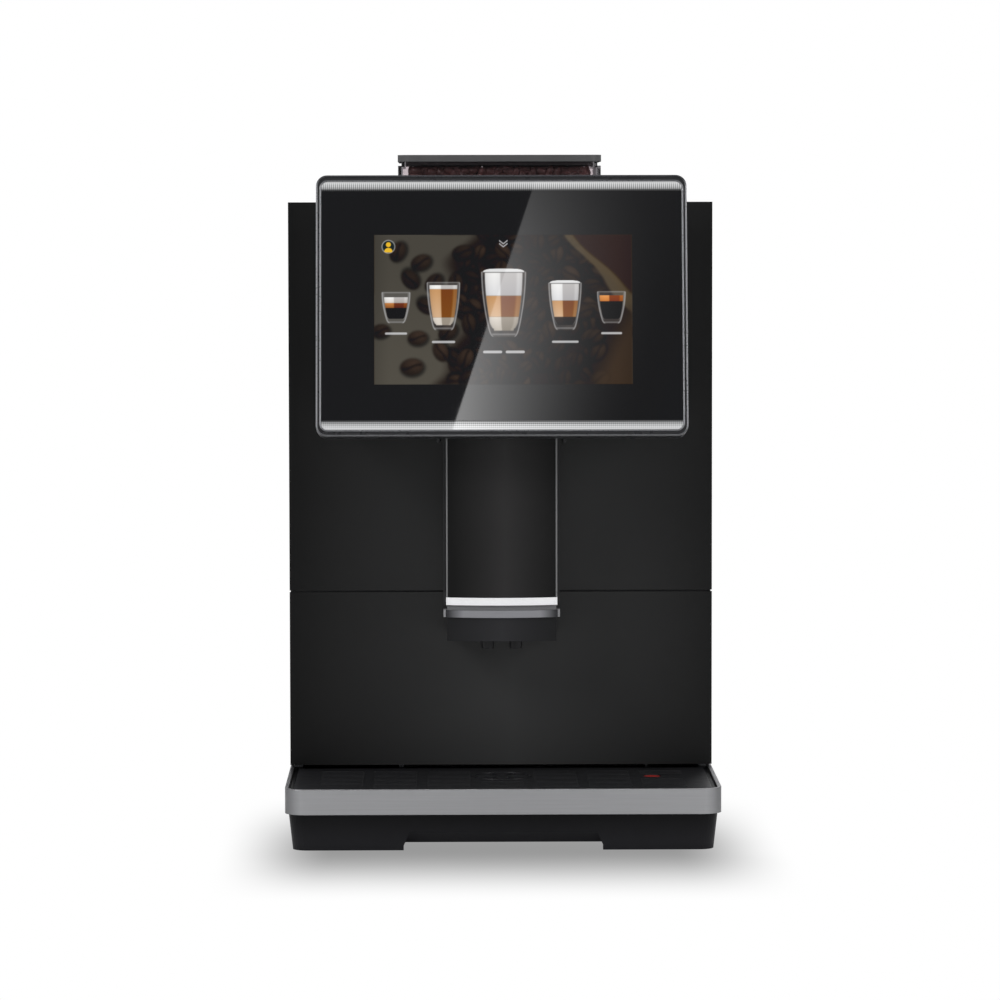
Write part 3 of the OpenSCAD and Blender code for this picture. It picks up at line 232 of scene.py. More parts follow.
def brushed(name, color, rough, along=(1, 1, 1), edge=0.0004):
    """Metal brushed in one direction: fine long scratches in gloss and bump."""
    m = Nodes(name)
    line = m.add("ShaderNodeMapping", {"Vector": m.coord, "Scale": along}).outputs[0]
    streak = m.noise(900, 3, 0.6, line)
    gloss = m.remap(streak, rough - 0.05, rough + 0.07)
    m.look(base_color=m.mix(m.remap(streak, 0, 1), tuple(c * 0.9 for c in color), color),
           roughness=m.math("ADD", gloss, m.remap(m.noise(14, 3), -0.02, 0.02)),
           metallic=1.0, normal=m.bump(streak, 0.12, 0.0001, m.round_edges(edge)))
    return m


def clear_plastic(name, tint, haze, ior=1.5):
    """Thin clear wall: seen through, with a reflecting skin and a little haze."""
    m = Nodes(name)
    m.t.nodes.remove(m.bsdf)

    def blend(fac, first, second):
        n = m.add("ShaderNodeMixShader", {0: fac})
        m.put(n.inputs[1], first.outputs[0])
        m.put(n.inputs[2], second.outputs[0])
        return n

    see = m.add("ShaderNodeBsdfTransparent", {"Color": (*tint, 1)})
    gloss = m.add("ShaderNodeBsdfGlossy", {"Color": (1, 1, 1, 1),
                                           "Roughness": m.remap(m.noise(60, 3), 0.03, 0.09)})
    edge = m.add("ShaderNodeFresnel", {"IOR": ior, "Normal": m.bump(m.noise(220, 2), 0.1, 0.0002)})
    milk = m.add("ShaderNodeBsdfDiffuse", {"Color": (0.8, 0.8, 0.82, 1)})
    skin = blend(edge.outputs[0], see, gloss)
    wall = blend(m.remap(m.noise(35, 3), haze * 0.7, haze * 1.3), skin, milk)
    m.put(m.t.nodes["Material Output"].inputs[0], wall.outputs[0])
    return m


def galvanised(name):
    """Zinc spangle: flat cells, each with its own tone and gloss."""
    m = Nodes(name)
    cells = m.add("ShaderNodeTexVoronoi", {"Vector": m.coord, "Scale": 70.0})
    tone = m.add("ShaderNodeSeparateColor", {"Color": cells.outputs["Color"]}).outputs[0]
    m.look(base_color=m.mix(tone, (0.46, 0.47, 0.48), (0.6, 0.61, 0.62)),
           roughness=m.remap(tone, 0.32, 0.5, 0, 1), metallic=1.0,
           normal=m.bump(m.noise(500, 3), 0.1, 0.0002, m.round_edges(0.0003)))
    return m


def circuit(name):
    """Green board with paler tracks."""
    m = Nodes(name)
    net = m.add("ShaderNodeTexVoronoi", {"Vector": m.coord, "Scale": 160}, feature="DISTANCE_TO_EDGE")
    tracks = m.math("LESS_THAN", net.outputs["Distance"], 0.06)
    m.look(base_color=m.mix(tracks, (0.015, 0.11, 0.045), (0.04, 0.24, 0.09)),
           roughness=m.remap(m.noise(90), 0.3, 0.42), normal=m.bump(tracks, 0.4, 0.0001))
    return m


SURFACES = {
    "front_black": dict(color=(0.020, 0.020, 0.021), rough=0.40, spec=0.14, grain=(2600, 0.06, 0.00006),
                        vary=0.08, vary_scale=7, rough_vary=0.03),
    "case_black": dict(color=(0.014, 0.014, 0.015), rough=0.5, spec=0.36, grain=(2200, 0.22, 0.00012),
                       vary=0.10, vary_scale=9),
    "mould_black": dict(color=(0.016, 0.016, 0.017), rough=0.46, spec=0.42, grain=(1500, 0.2, 0.00014),
                        vary=0.12, vary_scale=22),
    "frame_black": dict(color=(0.020, 0.020, 0.022), rough=0.3, grain=(1800, 0.06, 0.00008),
                        vary=0.08, vary_scale=20, edge=0.0012),
    "gloss_black": dict(color=(0.008, 0.008, 0.009), rough=0.34, spec=0.16, grain=(1500, 0.03, 0.0001),
                        vary=0.1, rough_vary=0.03),
    "lid_grey": dict(color=(0.135, 0.134, 0.136), rough=0.42, spec=0.4, grain=(1500, 0.15, 0.00012),
                     vary=0.1, vary_scale=24, edge=0.0008),
    "spout_grey": dict(color=(0.030, 0.030, 0.032), rough=0.38, spec=0.22, grain=(1600, 0.16, 0.0001),
                       vary=0.1, vary_scale=30),
    "glass_black": dict(color=(0.0035, 0.0035, 0.0045), rough=0.012, spec=0.48,
                        vary=0.15, vary_scale=6, rough_vary=0.004, edge=0.0003),
    "spout_band": dict(color=(0.90, 0.90, 0.905), rough=0.45, grain=(1200, 0.05, 0.0001),
                       vary=0.02, rough_vary=0.03),
    "motor_metal": dict(color=(0.42, 0.42, 0.43), rough=0.42, metallic=1, grain=(700, 0.2, 0.0002),
                        vary=0.15),
    "tray_black": dict(color=(0.0065, 0.0065, 0.008), rough=0.42, spec=0.15, grain=(1400, 0.16, 0.00012),
                       vary=0.15, vary_scale=16, edge=0.0008),
    "grid_black": dict(color=(0.012, 0.012, 0.014), rough=0.34, grain=(2400, 0.12, 0.0001),
                       vary=0.15, vary_scale=25, edge=0.0005),
    "rubber": dict(color=(0.012, 0.012, 0.012), rough=0.75, spec=0.3, grain=(900, 0.4, 0.0002), vary=0.2),
    "hose": dict(color=(0.72, 0.72, 0.68), rough=0.35, grain=(400, 0.1, 0.0001), vary=0.05),
    "brew_white": dict(color=(0.66, 0.63, 0.56), rough=0.42, grain=(900, 0.12, 0.0001), vary=0.06),
    "float_red": dict(color=(0.42, 0.02, 0.015), rough=0.3, grain=(700, 0.08, 0.0001), vary=0.1),
    "brass": dict(color=(0.58, 0.42, 0.16), rough=0.3, metallic=1, grain=(800, 0.15, 0.0001), vary=0.1),
}


def paint_sheen_highlight(m, centre, edge, half, x0=0.0):
    """Painted highlight: a base colour that falls from a light middle of the machine to darker sides, with slow
    unevenness, standing in for a broad reflection.
    """
    off = m.math("ABSOLUTE", m.math("SUBTRACT", m.xyz()[0], x0))
    off = m.math("ADD", off, m.remap(m.noise(9, 3), -0.004, 0.004))
    m.look(base_color=m.fade(off, 0.0, half, centre, edge))


def tone_spout_head(m):
    """A dark foot, a painted sheen on the block above it, a lip with a painted highlight in its middle that
    fades to dark toward its sides and has pale ends, and a mid-grey band on top.
    """
    foot_top, lip_low, lip_top = 0.1697, 0.1902, 0.19655
    shine_to, dark_from, end_from = 0.033, 0.046, 0.0484
    paint_sheen_highlight(m, (0.0260, 0.0260, 0.0285), (0.0070, 0.0070, 0.0080), half=0.050)
    x, _, z = m.xyz()
    off = m.math("ABSOLUTE", x)
    # Painted highlight: the lip is painted pale in its middle and dark toward its sides.
    lip = m.fade(off, shine_to, dark_from, (0.30, 0.30, 0.318), (0.040, 0.040, 0.044))
    lip = m.split(off, end_from, lip, (0.36, 0.36, 0.37))
    tone = m.split(z, lip_low, m.base(), lip)
    tone = m.split(z, lip_top, tone, (0.20, 0.20, 0.205))
    m.look(base_color=m.split(z, foot_top, (0.010, 0.010, 0.011), tone))


def tone_spout_band(m):
    """The band gets a faint painted glow, an emission with no lamp behind it, between its grey foot and the grey
    strips that rise from it.
    """
    foot_top, strip_low = 0.2010, 0.2076
    z = m.xyz()[2]
    foot = m.math("LESS_THAN", z, foot_top)
    strip = m.math("GREATER_THAN", z, strip_low)
    tone = m.mix(foot, m.base(), (0.10, 0.10, 0.102))
    # Painted glow: an emission that stands in for light on the band.
    glow = m.mix(m.math("MAXIMUM", strip, foot), (0.135, 0.135, 0.137), (0, 0, 0))
    m.look(base_color=m.mix(strip, tone, (0.19, 0.19, 0.192)), emission_color=glow, emission_strength=1.0)


def paint_rim_end_shade(m):
    """Painted shade: the tray's silver rim darkens toward both of its ends, where it curves round its corners.
    """
    bright_to, dark_from = 0.1715, 0.1840
    off = m.math("ABSOLUTE", m.xyz()[0])
    m.look(base_color=m.fade(off, bright_to, dark_from, m.base(), (0.20, 0.20, 0.205)))


def paint_tray_light_and_shade(m):
    """Painted light and shade: the tray's foot is painted lighter, as if lit off the table, and its upper part
    darker, as in the shade under the rim.
    """
    lit_to, dark_from = 0.006, 0.028
    z = m.math("ADD", m.xyz()[2], m.remap(m.noise(30, 3), -0.001, 0.001))
    m.look(base_color=m.fade(z, lit_to, dark_from, (0.0130, 0.0128, 0.0150), (0.0020, 0.0020, 0.0026)))


def paint_trim_shade(m):
    """Painted shade: the display's bright trim darkens at its top and bottom edges, in mm up its slope."""
    bright_to, dark_from = 103.0, 109.0
    v = m.up_slope()
    tone = m.fade(v, bright_to, dark_from, m.base(), (0.14, 0.14, 0.15))
    m.look(base_color=m.fade(v, -dark_from, -bright_to, (0.26, 0.26, 0.27), tone))


def make_materials():
    out = {name: surface(name, **look) for name, look in SURFACES.items()}
    out["rim_silver"] = brushed("rim_silver", (0.47, 0.47, 0.48), 0.38, (0.02, 0.02, 1), edge=0.0012)
    out["ring_trim"] = brushed("ring_trim", (0.70, 0.70, 0.72), 0.30)
    out["stainless"] = brushed("stainless", (0.58, 0.58, 0.59), 0.28, (0.05, 0.05, 1))
    out["zinc"] = galvanised("zinc")
    out["board"] = circuit("board")
    out["clear_smoke"] = clear_plastic("clear_smoke", (0.86, 0.83, 0.84), haze=0.004, ior=1.16)
    out["clear_tank"] = clear_plastic("clear_tank", (0.9, 0.95, 0.97), haze=0.05)
    # Painted highlight: the front panels and the spout cover are painted lighter in their middle and darker
    # toward their sides, in place of a broad reflection.
    paint_sheen_highlight(out["front_black"], (0.0500, 0.0500, 0.0500), (0.0080, 0.0080, 0.0080), half=0.190, x0=0.010)
    paint_sheen_highlight(out["gloss_black"], (0.0310, 0.0300, 0.0300), (0.0055, 0.0055, 0.0055), half=0.047, x0=0.003)
    tone_spout_head(out["spout_grey"])
    tone_spout_band(out["spout_band"])
    paint_rim_end_shade(out["rim_silver"])
    paint_tray_light_and_shade(out["tray_black"])
    paint_trim_shade(out["ring_trim"])
    return out


MATS = make_materials()

FINISH = {
    "front_black": ["upper_front_panel", "lower_front_panel"],
    "case_black": ["left_side_panel", "right_side_panel", "rear_panel", "top_cover"],
    "mould_black": ["door_shell", "display_housing", "column_shell", "grinder_housing", "grounds_chute",
                    "brewer_frame", "tank_seat", "grounds_container", "tray_runners", "fan_frame", "fan_rotor",
                    "power_inlet", "switch_frame", "drain_spigot", "hopper_lock_knob", "tank_lid", "water_pump"],
    "lid_grey": ["hopper_lid"],
    "frame_black": ["display_frame"],
    "gloss_black": ["spout_cover"],
    "spout_grey": ["spout_head"],
    "glass_black": ["display_glass", "lcd_panel"],
    "ring_trim": ["display_trim"],
    "rim_silver": ["tray_rim"],
    "spout_band": ["spout_trim"],
    "stainless": ["boiler", "spout_rails", "hinge_brackets", "burr_rotor", "brewer_spindle", "case_screws"],
    "motor_metal": ["grinder_motor", "brewer_gearmotor"],
    "zinc": ["base_pan", "front_frame", "divider_wall", "centre_plate", "grinder_deck", "bin_shelf"],
    "tray_black": ["drip_tray"],
    "grid_black": ["drip_grid"],
    "rubber": ["rubber_feet"],
    "hose": ["water_hoses"],
    "brew_white": ["brew_chamber", "brewer_piston"],
    "float_red": ["tray_float", "switch_rocker"],
    "brass": ["water_inlet_fitting"],
    "board": ["power_board"],
    "clear_smoke": ["bean_hopper"],
    "clear_tank": ["water_tank"],
}


def dress(node, mat):
    obj = NODES[node]
    if not obj.material_slots:
        obj.data.materials.append(mat)
    for s in obj.material_slots:
        s.material = mat


for finish, names in FINISH.items():
    for n in names:
        dress(n, MATS[finish].mat)


def stage_plane(name, size, mat, z=0.0):
    me = bpy.data.meshes.new(name)
    h = size / 2
    me.from_pydata([(-h, -h, z), (h, -h, z), (h, h, z), (-h, h, z)], [], [(0, 1, 2, 3)])
    ob = bpy.data.objects.new(name, me)
    me.materials.append(mat)
    bpy.context.scene.collection.objects.link(ob)
    return ob


def white_floor():
    """White studio floor. The camera sees a painted soft grey pool of shadow under the machine that
    fades to pure white; every other ray meets a plain pale floor."""
    side = 0.144, 0.245         # where the shade starts to fade, and where it is gone
    back = -0.22, 0.13
    front = -0.24, -0.53
    depth = 0.68
    m = Nodes("floor")
    x, y, _ = m.xyz()
    wave = m.remap(m.noise(2.5, 3), -0.004, 0.004)
    x = m.math("ADD", m.math("ABSOLUTE", x), wave)
    y = m.math("ADD", y, wave)

    def shade(value, full, gone):
        return m.remap(value, 1.0, 0.0, full, gone, kind="SMOOTHSTEP")

    # Painted shadow: the pool's darkness, strongest under the machine and fading outward.
    pool = m.math("MULTIPLY", shade(x, *side), m.math("MULTIPLY", shade(y, *back), shade(y, *front)))
    tone = m.math("SUBTRACT", 1.0, m.math("MULTIPLY", pool, depth))
    shown = m.add("ShaderNodeEmission", {"Color": m.mix(tone, (0, 0, 0), (1, 1, 1))})
    m.look(base_color=m.mix(m.noise(1.2, 3), (0.84, 0.84, 0.84), (0.88, 0.88, 0.88)),
           roughness=0.9, specular_ior_level=0.0)
    pick = m.add("ShaderNodeMixShader", {0: m.add("ShaderNodeLightPath").outputs["Is Camera Ray"]})
    m.put(pick.inputs[1], m.bsdf.outputs[0])
    m.put(pick.inputs[2], shown.outputs[0])
    m.put(m.t.nodes["Material Output"].inputs[0], pick.outputs[0])
    return m.mat


stage_plane("floor", 14, white_floor())


# ---------- the display's own plane ----------

def disp(u, v, w=0.0):
    """A point on the display, in metres: u right, v up the slope and w out of the glass, in mm."""
    return (DISP + Vector((u, 0, 0)) + UP * v + OUT * w) * MM


def new_object(name, verts, faces, mat, smooth=False):
    me = bpy.data.meshes.new(name)
    me.from_pydata([tuple(v) for v in verts], [], faces)
    me.update()
    if smooth:
        me.polygons.foreach_set("use_smooth", [True] * len(me.polygons))
    ob = bpy.data.objects.new(name, me)
    if mat:
        me.materials.append(mat)
    bpy.context.scene.collection.objects.link(ob)
    return ob


def to_linear(c):
    c = np.clip(c, 0, 1)
    return np.where(c <= 0.04045, c / 12.92, ((c + 0.055) / 1.055) ** 2.4)


def set_colors(ob, rgb):
    att = ob.data.color_attributes.new("paint", "FLOAT_COLOR", "POINT")
    flat = np.ones((len(rgb), 4), dtype=np.float32)
    flat[:, :3] = rgb
    att.data.foreach_set("color", flat.ravel())


# ---------- picture on the screen ----------

SCREEN_W = 222.7            # mm, and the lit panel's foot and head up the slope
SCREEN_V0 = -68.0
SCREEN_V1 = 60.9
POINT_PITCH = 0.45
PICTURE_RISE = 2.9          # the picture's own heights count from this much lower
PICTURE_SQUEEZE = 0.989
PICTURE_SHIFT = 1.3
PICTURE_LIFT = 0.12         # off the glass
BLACK_LEVEL = 0.008         # taken off every colour, which deepens the blacks


def step(x, a, b):
    t = np.clip((x - a) / (b - a), 0, 1)
    return t * t * (3 - 2 * t)


def bell(x, middle, width):
    return np.exp(-((x - middle) / width) ** 2)


def kept_in_shade(top, foot):
    """The share of its red, green and blue that a drink's layer keeps on its dark side."""
    warm_by, white_from = 50, 225
    if foot[0] - foot[2] > warm_by:
        return (0.60, 0.42, 0.12)
    if top[0] > white_from:
        return (0.80, 0.79, 0.79)
    return (0.72, 0.70, 0.67)


class Canvas:
    """Paints soft shapes on a grid of points, in mm, in display colours from 0 to 255."""

    def __init__(self):
        nu = int(SCREEN_W / POINT_PITCH) + 1
        nv = int((SCREEN_V1 - SCREEN_V0) / POINT_PITCH) + 1
        self.u, self.v = np.meshgrid(np.linspace(-SCREEN_W / 2, SCREEN_W / 2, nu),
                                     np.linspace(SCREEN_V0, SCREEN_V1, nv))
        self.v += PICTURE_RISE
        self.c = np.zeros(self.u.shape + (3,))

    def over(self, mask, color):
        m = mask[..., None]
        self.c = self.c * (1 - m) + np.asarray(color, dtype=float) * m

    def light(self, mask, amount):
        self.c = self.c * (1 + mask[..., None] * amount)

    def blur(self, times):
        for _ in range(times):
            for axis in (0, 1):
                a = self.c
                self.c = (np.roll(a, 1, axis) + 2 * a + np.roll(a, -1, axis)) / 4

    def bean(self, u0, v0, a, b, turn, tone=1.0):
        """One coffee bean, lit from its upper left, with its shadow: half length a, half width b."""
        near = (abs(self.u - u0) < a * 1.6) & (abs(self.v - v0) < a * 1.6)
        rows = np.where(near.any(1))[0]
        cols = np.where(near.any(0))[0]
        if not len(rows) or not len(cols):
            return
        win = (slice(rows[0], rows[-1] + 1), slice(cols[0], cols[-1] + 1))
        du, dv = self.u[win] - u0, self.v[win] - v0
        x = du * math.cos(turn) + dv * math.sin(turn)
        y = -du * math.sin(turn) + dv * math.cos(turn)
        r = np.sqrt((x / a) ** 2 + (y / b) ** 2)
        cast = np.sqrt(((x - 0.7) / (a * 1.15)) ** 2 + ((y + 1.2) / (b * 1.2)) ** 2)
        shadow = (1 - step(cast, 0.75, 1.15)) * 0.55
        body = 1 - step(r, 0.92, 1.06)
        lamp = np.clip(0.5 - 0.5 * (du * -0.5 + dv * -0.85) / a, 0, 1)
        gleam = 0.45 + 0.85 * lamp * (1 - 0.6 * np.clip(r, 0, 1) ** 2)
        col = np.array([60, 46, 36]) * tone * 0.88 * gleam[..., None]
        crease = bell(y, 0.18 * b * np.sin(x / a * 2.6), 0.13 * b) * (abs(x) < 0.86 * a)
        col = col * (1 - 0.6 * crease[..., None])
        part = self.c[win] * (1 - shadow[..., None])
        self.c[win] = part * (1 - body[..., None]) + col * body[..., None]

    def glass(self, u0, foot_v, brim_v, width, layers, dome=0.0):
        """A drink in a tapered glass: wall, layers, base, a dome of foam and the glass's lip."""
        h = (self.v - foot_v) / (brim_v - foot_v)
        hc = np.clip(h, 0, 1)
        off = abs(self.u - u0)
        half = width / 2 * (0.60 + 0.40 * (1 - (1 - hc) ** 1.9))
        half = half - width * 0.06 * np.exp(-hc / 0.035)
        d = off - half
        inside = (1 - step(d, -0.25, 0.35)) * step(h, -0.005, 0.012) * (1 - step(h, 0.99, 1.005))
        self.over(inside * 0.30, (120, 120, 122))
        rim = bell(d, -0.7, 0.62) * step(h, 0.0, 0.02) * (1 - step(h, 0.985, 1.0))
        self.over(rim * 0.62, (196, 196, 198))
        self.drink(u0, h, half, width, layers)
        base = bell(h, 0.045, 0.016) * (off < half * 0.86)
        self.over(base * 0.45, (190, 190, 192))
        if dome:
            self.foam(u0, brim_v, width, dome)
        else:
            lip = bell(h, 0.995, 0.45 / (brim_v - foot_v) + 0.004) * (off < width / 2 * 0.97)
            self.over(lip * 0.5, (175, 175, 176))

    def drink(self, u0, h, half, width, layers):
        """Layers from low to high, each with its two heights and its colours at them, darker on
        their right side."""
        floor_h = 0.13
        depth = np.clip((h - floor_h) / 0.09, 0, 1)
        inner = (half * 0.87 - width * 0.02) * (0.80 + 0.20 * np.sqrt(depth))
        d = abs(self.u - u0) - inner
        wall = bell(d, 0.2, 0.5) * step(h, floor_h - 0.01, floor_h + 0.02) * (h < 0.97)
        self.over(wall * 0.25, (205, 205, 206))
        x = (self.u - u0) / np.maximum(inner, 0.1)
        shade = 1.0 - 0.30 * np.clip(abs(x) - 0.78, 0, 1) + 0.03 * bell(x, -0.5, 0.2)
        dark_side = step(x, -0.24, -0.12) * (1 - 0.42 * step(x, 0.60, 0.82))
        for low, high, foot, top in layers:
            k = np.clip((h - low) / max(high - low, 1e-3), 0, 1)[..., None]
            col = (np.array(foot) * (1 - k) + np.array(top) * k) * shade[..., None]
            col = col * (1 - dark_side[..., None] * (1 - np.array(kept_in_shade(top, foot))))
            m = step(h, low - 0.012, low + 0.012) * (1 - step(h, high - 0.008, high + 0.012))
            self.over((1 - step(d, -0.35, 0.3)) * m, np.clip(col, 0, 245))

    def foam(self, u0, brim_v, width, rise):
        """A flat dome of foam over the brim, with a dark line where it meets the glass."""
        y = (self.v - (brim_v - 0.6)) / rise
        x = (self.u - u0) / (width / 2 * 0.93)
        m = (1 - step(x ** 4 + np.clip(y, 0, 9) ** 2, 0.82, 1.1)) * (self.v >= brim_v - 0.9)
        self.over(m, (226, 226, 226))
        line = bell(self.v, brim_v - 0.9, 0.4) * (abs(self.u - u0) < width / 2 * 0.93)
        self.over(line * 0.75, (72, 70, 70))

    def bar(self, u0, v0, length, height):
        q = np.maximum(abs(self.u - u0) - length / 2 + height / 2, 0)
        d = np.hypot(q, self.v - v0) - height / 2
        self.over((1 - step(d, -0.3, 0.35)) * 0.86, (205, 205, 207))


WHITE = (236, 235, 233)
FOAM = (214, 214, 216)
CREAM = (210, 202, 192)
CARAMEL = (194, 146, 98)
CARAMEL_LOW = (206, 170, 134)
COFFEE = (12, 7, 4)
BADGE_YELLOW = (232, 184, 44)


def paint_backdrop(cv):
    """A pale table on the left and a heap of coffee beans that spills over it."""
    u, v = cv.u, cv.v
    rng = random.Random(11)
    cv.over(np.ones(u.shape), (80, 76, 67))
    cv.light(step(v, -70, 60), -0.12)
    pile = step(u + 9 * np.sin(v / 17.0) + 5 * np.sin(v / 6.3 + 1) - 0.16 * v, -52, -34)
    cv.over(pile * 0.95, (26, 18, 14))
    for _ in range(240):
        bu, bv = rng.uniform(-46, 86), rng.uniform(-66, 64)
        edge = -44 - 9 * math.sin(bv / 17.0) + 0.16 * bv
        if bu < edge + rng.uniform(-4, 10):
            continue
        size = rng.uniform(7.2, 9.6)
        plump, turn, tone = rng.uniform(0.62, 0.74), rng.uniform(0, math.pi), rng.uniform(0.62, 1.12)
        cv.bean(bu, bv, size, size * plump, turn, tone)
    loose = ((-91, 49, 9, 1.1, 0.9), (-71, 40, 9, 0.4, 0.95), (-80, 25, 9.5, 2.2, 0.8),
             (-60, 22, 9, 0.9, 0.8), (-66, 2, 9, 2.6, 0.85), (-55, -10, 9, 1.8, 0.9),
             (-106, -19, 8, 0.2, 0.95), (-74, -25, 8.5, 0.1, 1.15), (-54, -37, 9, 2.0, 1.15),
             (-33, -43, 9.5, 1.0, 1.1), (-79, -50, 10, 0.1, 1.15), (-48, -20, 9, 0.7, 0.95))
    for bu, bv, size, turn, tone in loose:
        cv.bean(bu, bv, size, size * 0.72, turn, tone)


def paint_sack(cv):
    """The corner of a woven sack at the upper right, with its hem, and a pale patch under it."""
    u, v = cv.u, cv.v
    line = (u - 56) - (63.5 - v) * 0.93
    sack = step(line + 2.5 * np.sin(v / 5.0), -3, 2)
    cv.over(sack * 0.95, (40, 24, 6))
    weave = 0.5 + 0.5 * np.sin(u * 1.5 + v * 0.6) * np.sin(v * 1.7 - u * 0.5)
    cv.light(sack * weave, 0.16)
    wide = 4.2 + 5.5 * step(-v, -50, 0)
    hem = 1 - step(abs(line - 1.0 + 1.8 * np.sin(v / 7.0)) / wide, 0.75, 1.15)
    cv.over(hem * 0.8, (88, 76, 56))
    patch = step(u - 0.5 * v, 98, 122) * (1 - sack)
    cv.over(patch * 0.8, (64, 48, 32))


def paint_drinks(cv):
    """Five drinks in a row, the middle one nearest."""
    cv.glass(-92.5, -12.6, 14.2, 25, (
        (0.15, 0.5, COFFEE, COFFEE), (0.5, 0.66, (140, 84, 40), (196, 128, 66)),
        (0.66, 0.84, (215, 208, 200), WHITE)))
    cv.glass(-51.6, -18.7, 22.8, 29, (
        (0.11, 0.27, CREAM, (216, 208, 196)), (0.27, 0.86, CARAMEL_LOW, CARAMEL), (0.86, 0.94, WHITE, WHITE)))
    cv.glass(0.4, -24.7, 32.2, 39, (
        (0.10, 0.31, (176, 168, 156), CREAM), (0.31, 0.63, CARAMEL_LOW, CARAMEL),
        (0.63, 0.985, FOAM, WHITE)), dome=3.0)
    cv.glass(53.3, -18.7, 22.6, 29, (
        (0.11, 0.28, (22, 18, 17), (46, 34, 28)), (0.28, 0.62, CARAMEL_LOW, CARAMEL),
        (0.62, 0.98, FOAM, WHITE)), dome=2.4)
    cv.glass(93.3, -13.1, 14.6, 25, (
        (0.15, 0.70, COFFEE, (20, 14, 12)), (0.70, 0.88, (196, 118, 50), (222, 150, 84))))


def paint_labels(cv):
    """A plain bar for each word under a drink."""
    gap = 3.0
    bar_share = 0.8
    for u0, v0, length, height, words in ((-92.5, -21.3, 19, 2.3, 1), (-51.6, -28.6, 20, 2.4, 1),
                                          (0.4, -37.3, 36, 2.9, 2), (53.3, -28.6, 23, 2.4, 1),
                                          (93.3, -21.3, 18, 2.3, 1)):
        each = (length - gap * (words - 1)) / words
        for k in range(words):
            cv.bar(u0 - length / 2 + each / 2 + k * (each + gap), v0, each, height * bar_share)


def paint_badge(cv, u0=-99.0, v0=53.6):
    """A ringed badge with a plain head and shoulders."""
    u, v = cv.u - u0, cv.v - v0
    r = np.hypot(u, v)
    cv.over(1 - step(r, 5.2, 5.7), (20, 34, 34))
    cv.over(bell(r, 5.5, 0.45) * 0.8, (176, 176, 176))
    cv.over(1 - step(np.hypot(u, v - 1.8), 1.9, 2.3), BADGE_YELLOW)
    cv.over((1 - step(np.hypot(u / 1.1, v + 4.2), 3.0, 3.4)) * (v > -5.0) * (r < 5.4), BADGE_YELLOW)


def paint_chevrons(cv, u0=0.2, v0=56.0, half=3.7):
    """Two small chevrons, one over the other, near the top edge."""
    off = abs(cv.u - u0)
    for drop in (0.0, 2.6):
        fold = abs((cv.v - (v0 - drop)) - off * 0.8)
        cv.over((1 - step(fold, 0.3, 0.85)) * (off < half), (172, 172, 174))


def paint_screen():
    cv = Canvas()
    paint_backdrop(cv)
    paint_sack(cv)
    cv.blur(5)
    cv.light(step(abs(cv.u), 96, 113), -0.1)
    paint_drinks(cv)
    paint_labels(cv)
    paint_badge(cv)
    paint_chevrons(cv)
    return cv


def lit_paint(m, strength):
    """The object's own point colours as a glow."""
    m.look(emission_color=m.add("ShaderNodeVertexColor", layer_name="paint").outputs["Color"],
           emission_strength=strength)


def grid_faces(rows, cols):
    idx = np.arange(rows * cols).reshape(rows, cols)
    return np.stack([idx[:-1, :-1], idx[:-1, 1:], idx[1:, 1:], idx[1:, :-1]], -1).reshape(-1, 4).tolist()


def build_screen():
    cv = paint_screen()
    pts = [disp(u * PICTURE_SQUEEZE + PICTURE_SHIFT, v - PICTURE_RISE, PICTURE_LIFT)
           for u, v in zip(cv.u.ravel(), cv.v.ravel())]
    m = Nodes("screen_picture")
    m.look(base_color=(0.004, 0.004, 0.005, 1), specular_ior_level=0.42,
           roughness=m.remap(m.noise(26, 3), 0.008, 0.016))
    lit_paint(m, 1.0)
    ob = new_object("screen_picture", pts, grid_faces(*cv.u.shape), m.mat)
    set_colors(ob, np.clip(to_linear(cv.c.reshape(-1, 3) / 255.0) - BLACK_LEVEL, 0, None))
    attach(ob, "door")


build_screen()


# ---------- light bars ----------

BAR_OUTER = 107.0           # mm up or down the slope to each bar's outer edge
TOP_PITCH, TOP_START = 1.7109, 0.908        # the dashes' pitch in mm, and their start as a share of it
LOW_PITCH, LOW_START = 1.7009, 0.366
ROW_PITCH, ROW_START = 1.71, 0.845

# Brightness by the distance in mm from a bar's outer edge: its mean and its swing over the dashes
TOP_MEAN = ((0.0, 0.44), (1.1, 0.60), (2.2, 0.55), (3.0, 0.46), (4.0, 0.47), (5.0, 0.35), (5.8, 0.31),
            (6.5, 0.19), (7.1, 0.040), (8.3, 0.034), (8.6, 0.0))
TOP_SWING = ((0.0, 0.0), (1.0, 0.05), (2.1, 0.20), (3.0, 0.27), (4.0, 0.29), (5.0, 0.21), (5.8, 0.19),
             (6.5, 0.08), (7.1, 0.034), (8.3, 0.030), (8.6, 0.0))
LOW_MEAN = ((0.0, 0.28), (0.4, 0.32), (0.7, 0.60), (1.7, 0.60), (3.0, 0.53), (4.1, 0.45), (5.1, 0.37),
            (6.0, 0.28), (7.0, 0.13), (8.0, 0.075), (8.7, 0.0))
LOW_SWING = ((0.0, 0.0), (1.6, 0.05), (3.0, 0.09), (4.1, 0.12), (5.6, 0.13), (6.8, 0.06), (8.0, 0.05),
             (8.7, 0.0))
ROW_SWING = ((0.0, 0.0), (1.4, 0.12), (3.6, 0.18), (5.0, 0.26), (6.3, 0.23), (7.6, 0.04), (8.6, 0.0))


